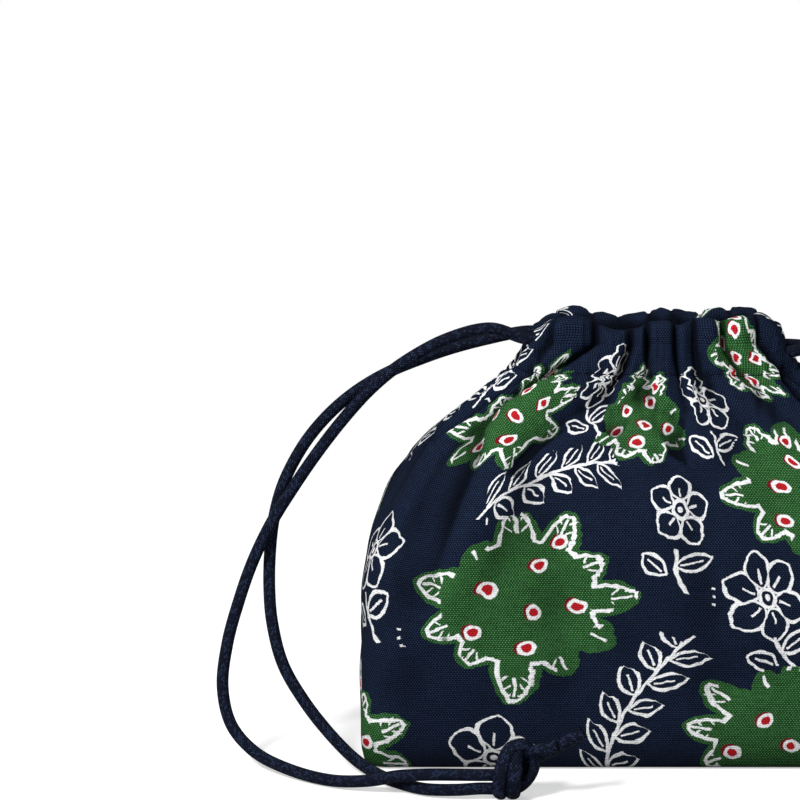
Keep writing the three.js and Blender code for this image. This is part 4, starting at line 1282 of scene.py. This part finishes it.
# Cloth
def cut_away(piece, vertices, faces):
    """Takes a closed shape out of a piece."""
    mesh = new_mesh("cutter", vertices, faces)
    cutter = new_object("cutter", mesh)
    modifier = piece.modifiers.new("cut", "BOOLEAN")
    modifier.operation = "DIFFERENCE"
    modifier.solver = "MANIFOLD"
    modifier.object = cutter
    bpy.context.view_layer.objects.active = piece
    with bpy.context.temp_override(object=piece, active_object=piece):
        bpy.ops.object.modifier_apply(modifier="cut")
    bpy.data.objects.remove(cutter)
    bpy.data.meshes.remove(mesh)


def box_shape(low, high):
    x0, y0, z0 = low
    x1, y1, z1 = high
    vertices = [(x, y, z) for z in (z0, z1) for x, y in ((x0, y0), (x1, y0), (x1, y1), (x0, y1))]
    faces = [(3, 2, 1, 0), (4, 5, 6, 7), (0, 1, 5, 4), (1, 2, 6, 5), (2, 3, 7, 6), (3, 0, 4, 7)]
    return vertices, faces


BORE_DIAMETER = CORD_DIAMETER + 0.7
BORE_REACH = 11
EAR_SLIT_WIDTH = 2
EAR_SLIT_LENGTH = 11
SLIT_FOOT = CASING_BOTTOM + 0.35

cloth = build_cloth(canvas_print(), canvas_lining())
for toward, level in ((1, LEFT_CORD_LEVEL), (-1, RIGHT_CORD_LEVEL)):
    bore = spline(loop_route(toward, level, EAR_X + BORE_REACH), 1.5)
    vertices, faces, _ = tube(bore, BORE_DIAMETER / 2, sides=16)
    cut_away(cloth, vertices, faces)
for side in (-1, 1):
    reaches = (-EAR_SLIT_LENGTH, EAR_SLIT_LENGTH)
    inner, outer = sorted(side * (HALF_MOUTH_WIDTH + reach) for reach in reaches)
    cut_away(cloth, *box_shape((inner, -EAR_SLIT_WIDTH / 2, SLIT_FOOT),
                               (outer, EAR_SLIT_WIDTH / 2, BODY_HEIGHT + 10)))
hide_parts("pouch_body")

# Stitches that close the casing, and the label
THREAD_DIAMETER = 0.42
STITCH_LENGTH = 2.3
STITCH_GAP = 0.7
STITCH_CLEAR_OF_SEAM = 3


def casing_stitches():
    """Line of stitches round the foot of the casing, on the face of the folded cloth."""
    quarter = (np.arange(4 * COLUMNS) / COLUMNS)[None, :]
    level = np.array([CASING_BOTTOM])
    fold, s, seam = fold_height(quarter, level)
    z = level[:, None] + 0 * quarter
    stand = fold + fine_gathers(s, z, seam) + THREAD_DIAMETER * 0.1
    line = (plain_point(quarter, z) + plain_normal(quarter, z) * stand[..., None])[0]
    line = np.vstack([line, line[:1]])
    seam = np.append(seam[0], seam[0, 0])
    along = lengths_along(line)
    radius = THREAD_DIAMETER / 2 * np.array([0.6, 1, 1, 1, 1, 0.6])
    vertices, faces = [], []
    start = 0.0
    while start + STITCH_LENGTH < along[-1]:
        at = start + np.linspace(0, STITCH_LENGTH, len(radius))
        start += STITCH_LENGTH + STITCH_GAP
        if np.interp(at, along, seam).min() < STITCH_CLEAR_OF_SEAM:
            continue
        add_shape(vertices, faces, *tube(points_at(at, along, line), radius, sides=6)[:2])
    return add_piece("casing_stitches", vertices, faces, thread_material())


LABEL_REACH = 8.0
LABEL_HEIGHT = 15.0
LABEL_LEVEL = 76.0
LABEL_ROWS = 13
TAPE_THICKNESS = 0.36
TAPE_GAP = 0.07
LABEL_SUNK = 1.2


def label_section(outer_x, inner_x):
    """Closed outline of the tape seen from above: out along one face, round the fold and back."""
    turn = np.linspace(0, math.pi, 9)
    faces = []
    for radius in (TAPE_THICKNESS + TAPE_GAP, TAPE_GAP):
        legs = [outer_x - 6 + 1.9 * k for k in range(3)]
        fold = [(outer_x - 0.4 + radius * math.sin(t), radius * math.cos(t)) for t in turn]
        faces.append([(inner_x, radius), *[(x, radius) for x in legs], *fold,
                      *[(x, -radius) for x in legs[::-1]], (inner_x, -radius)])
    return np.array(faces[0] + faces[1][::-1])


def folded_label():
    """Tape folded double, its fold outwards and its ends in the seam."""
    low, high = LABEL_LEVEL - LABEL_HEIGHT / 2, LABEL_LEVEL + LABEL_HEIGHT / 2
    levels = np.linspace(low, high, LABEL_ROWS)
    outer_x = half_width(np.array([low]))[0] + LABEL_REACH
    vertices = []
    for z in levels:
        inner_x = half_width(np.array([z]))[0] - LABEL_SUNK
        section = label_section(outer_x, inner_x)
        reach = (section[:, 0] - inner_x) / (outer_x - inner_x)
        bend = reach**2 * (0.5 * math.sin((z - low) * 0.23 + 0.4) + 0.25)
        vertices += [(x, y + b, z) for (x, y), b in zip(section, bend)]
    ring = len(section)
    count = ring // 2
    across = np.linspace(0, 2 * LABEL_REACH, count)
    across = np.concatenate([across, across[::-1]])
    flat = grid_pairs(np.append(across, across[0]), levels).tolist()
    faces = grid_faces(LABEL_ROWS, ring)
    for k, order in ((0, 1), (LABEL_ROWS - 1, -1)):
        for i in range(count - 1):
            edge = (i, ring - 1 - i, ring - 2 - i, i + 1)[::order]
            faces.append([k * ring + v for v in edge])
            flat += [(across[v], levels[k]) for v in edge]
    label = add_piece("folded_side_label", vertices, faces, tape_material(), {"Flat": flat})
    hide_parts("side_label")


stitches = casing_stitches()
folded_label()

# Floor, light, finish
FLOOR_LEVEL = -0.3
FLOOR_CORNERS = ((-900, -800), (900, -800), (900, 450), (-900, 450))
FLOOR_GREY = 0.75
FLOOR_GLOW = 0.45
FLOOR_BOUNCE = 0.3
WORLD_SEEN = 1.0
WORLD_LIGHT = 0.2
# Place, point aimed at, diameter and power of each light, in metres and watts
LIGHTS = {
    "key": ((-0.85, -1.2, 1.2), (0, 0, 0.08), 0.4, 38),
    "front": ((0.6, -1.8, 0.5), (0, 0, 0.08), 0.9, 9),
    "top": ((0.2, 0.3, 1.6), (0, 0, 0.1), 0.6, 4),
}


def build_stage():
    """White floor that keeps the shadow. Light that comes off it is weaker than what is seen."""
    material, tree, shader = new_material("stage_white")
    for name, value in (("Base Color", (*[FLOOR_GREY] * 3, 1)), ("Roughness", 0.9),
                        ("Specular IOR Level", 0.0)):
        put(tree, value, shader.inputs[name])
    glow = new_node(tree, "ShaderNodeEmission", Strength=FLOOR_GLOW)
    seen = new_node(tree, "ShaderNodeAddShader", _0=shader.outputs[0], _1=glow.outputs[0])
    bounce = new_node(tree, "ShaderNodeBsdfDiffuse", Color=(*[FLOOR_BOUNCE] * 3, 1))
    path = new_node(tree, "ShaderNodeLightPath")
    mix = new_node(tree, "ShaderNodeMixShader", _0=path.outputs["Is Camera Ray"],
                   _1=bounce.outputs[0], _2=seen.outputs[0])
    tree.links.new(mix.outputs[0], tree.nodes["Material Output"].inputs["Surface"])
    mesh = new_mesh("floor", [(x, y, FLOOR_LEVEL) for x, y in FLOOR_CORNERS], [(0, 1, 2, 3)])
    mesh.materials.append(material)
    new_object("floor", mesh)


def build_light():
    world = bpy.data.worlds.new("world")
    bpy.context.scene.world = world
    world.use_nodes = True
    tree = world.node_tree
    background = tree.nodes["Background"]
    background.inputs["Color"].default_value = (1, 1, 1, 1)
    seen = Field(tree, new_node(tree, "ShaderNodeLightPath").outputs["Is Camera Ray"])
    put(tree, seen * (WORLD_SEEN - WORLD_LIGHT) + WORLD_LIGHT, background.inputs["Strength"])
    for name, (place, target, size, power) in LIGHTS.items():
        data = bpy.data.lights.new(name, "AREA")
        data.shape = "DISK"
        data.size = size
        data.energy = power
        light = new_object(name, data)
        light.location = place
        direction = Vector(target) - Vector(place)
        light.rotation_euler = direction.to_track_quat("-Z", "Y").to_euler()


build_stage()
build_light()
bpy.context.scene.view_settings.view_transform = "Standard"
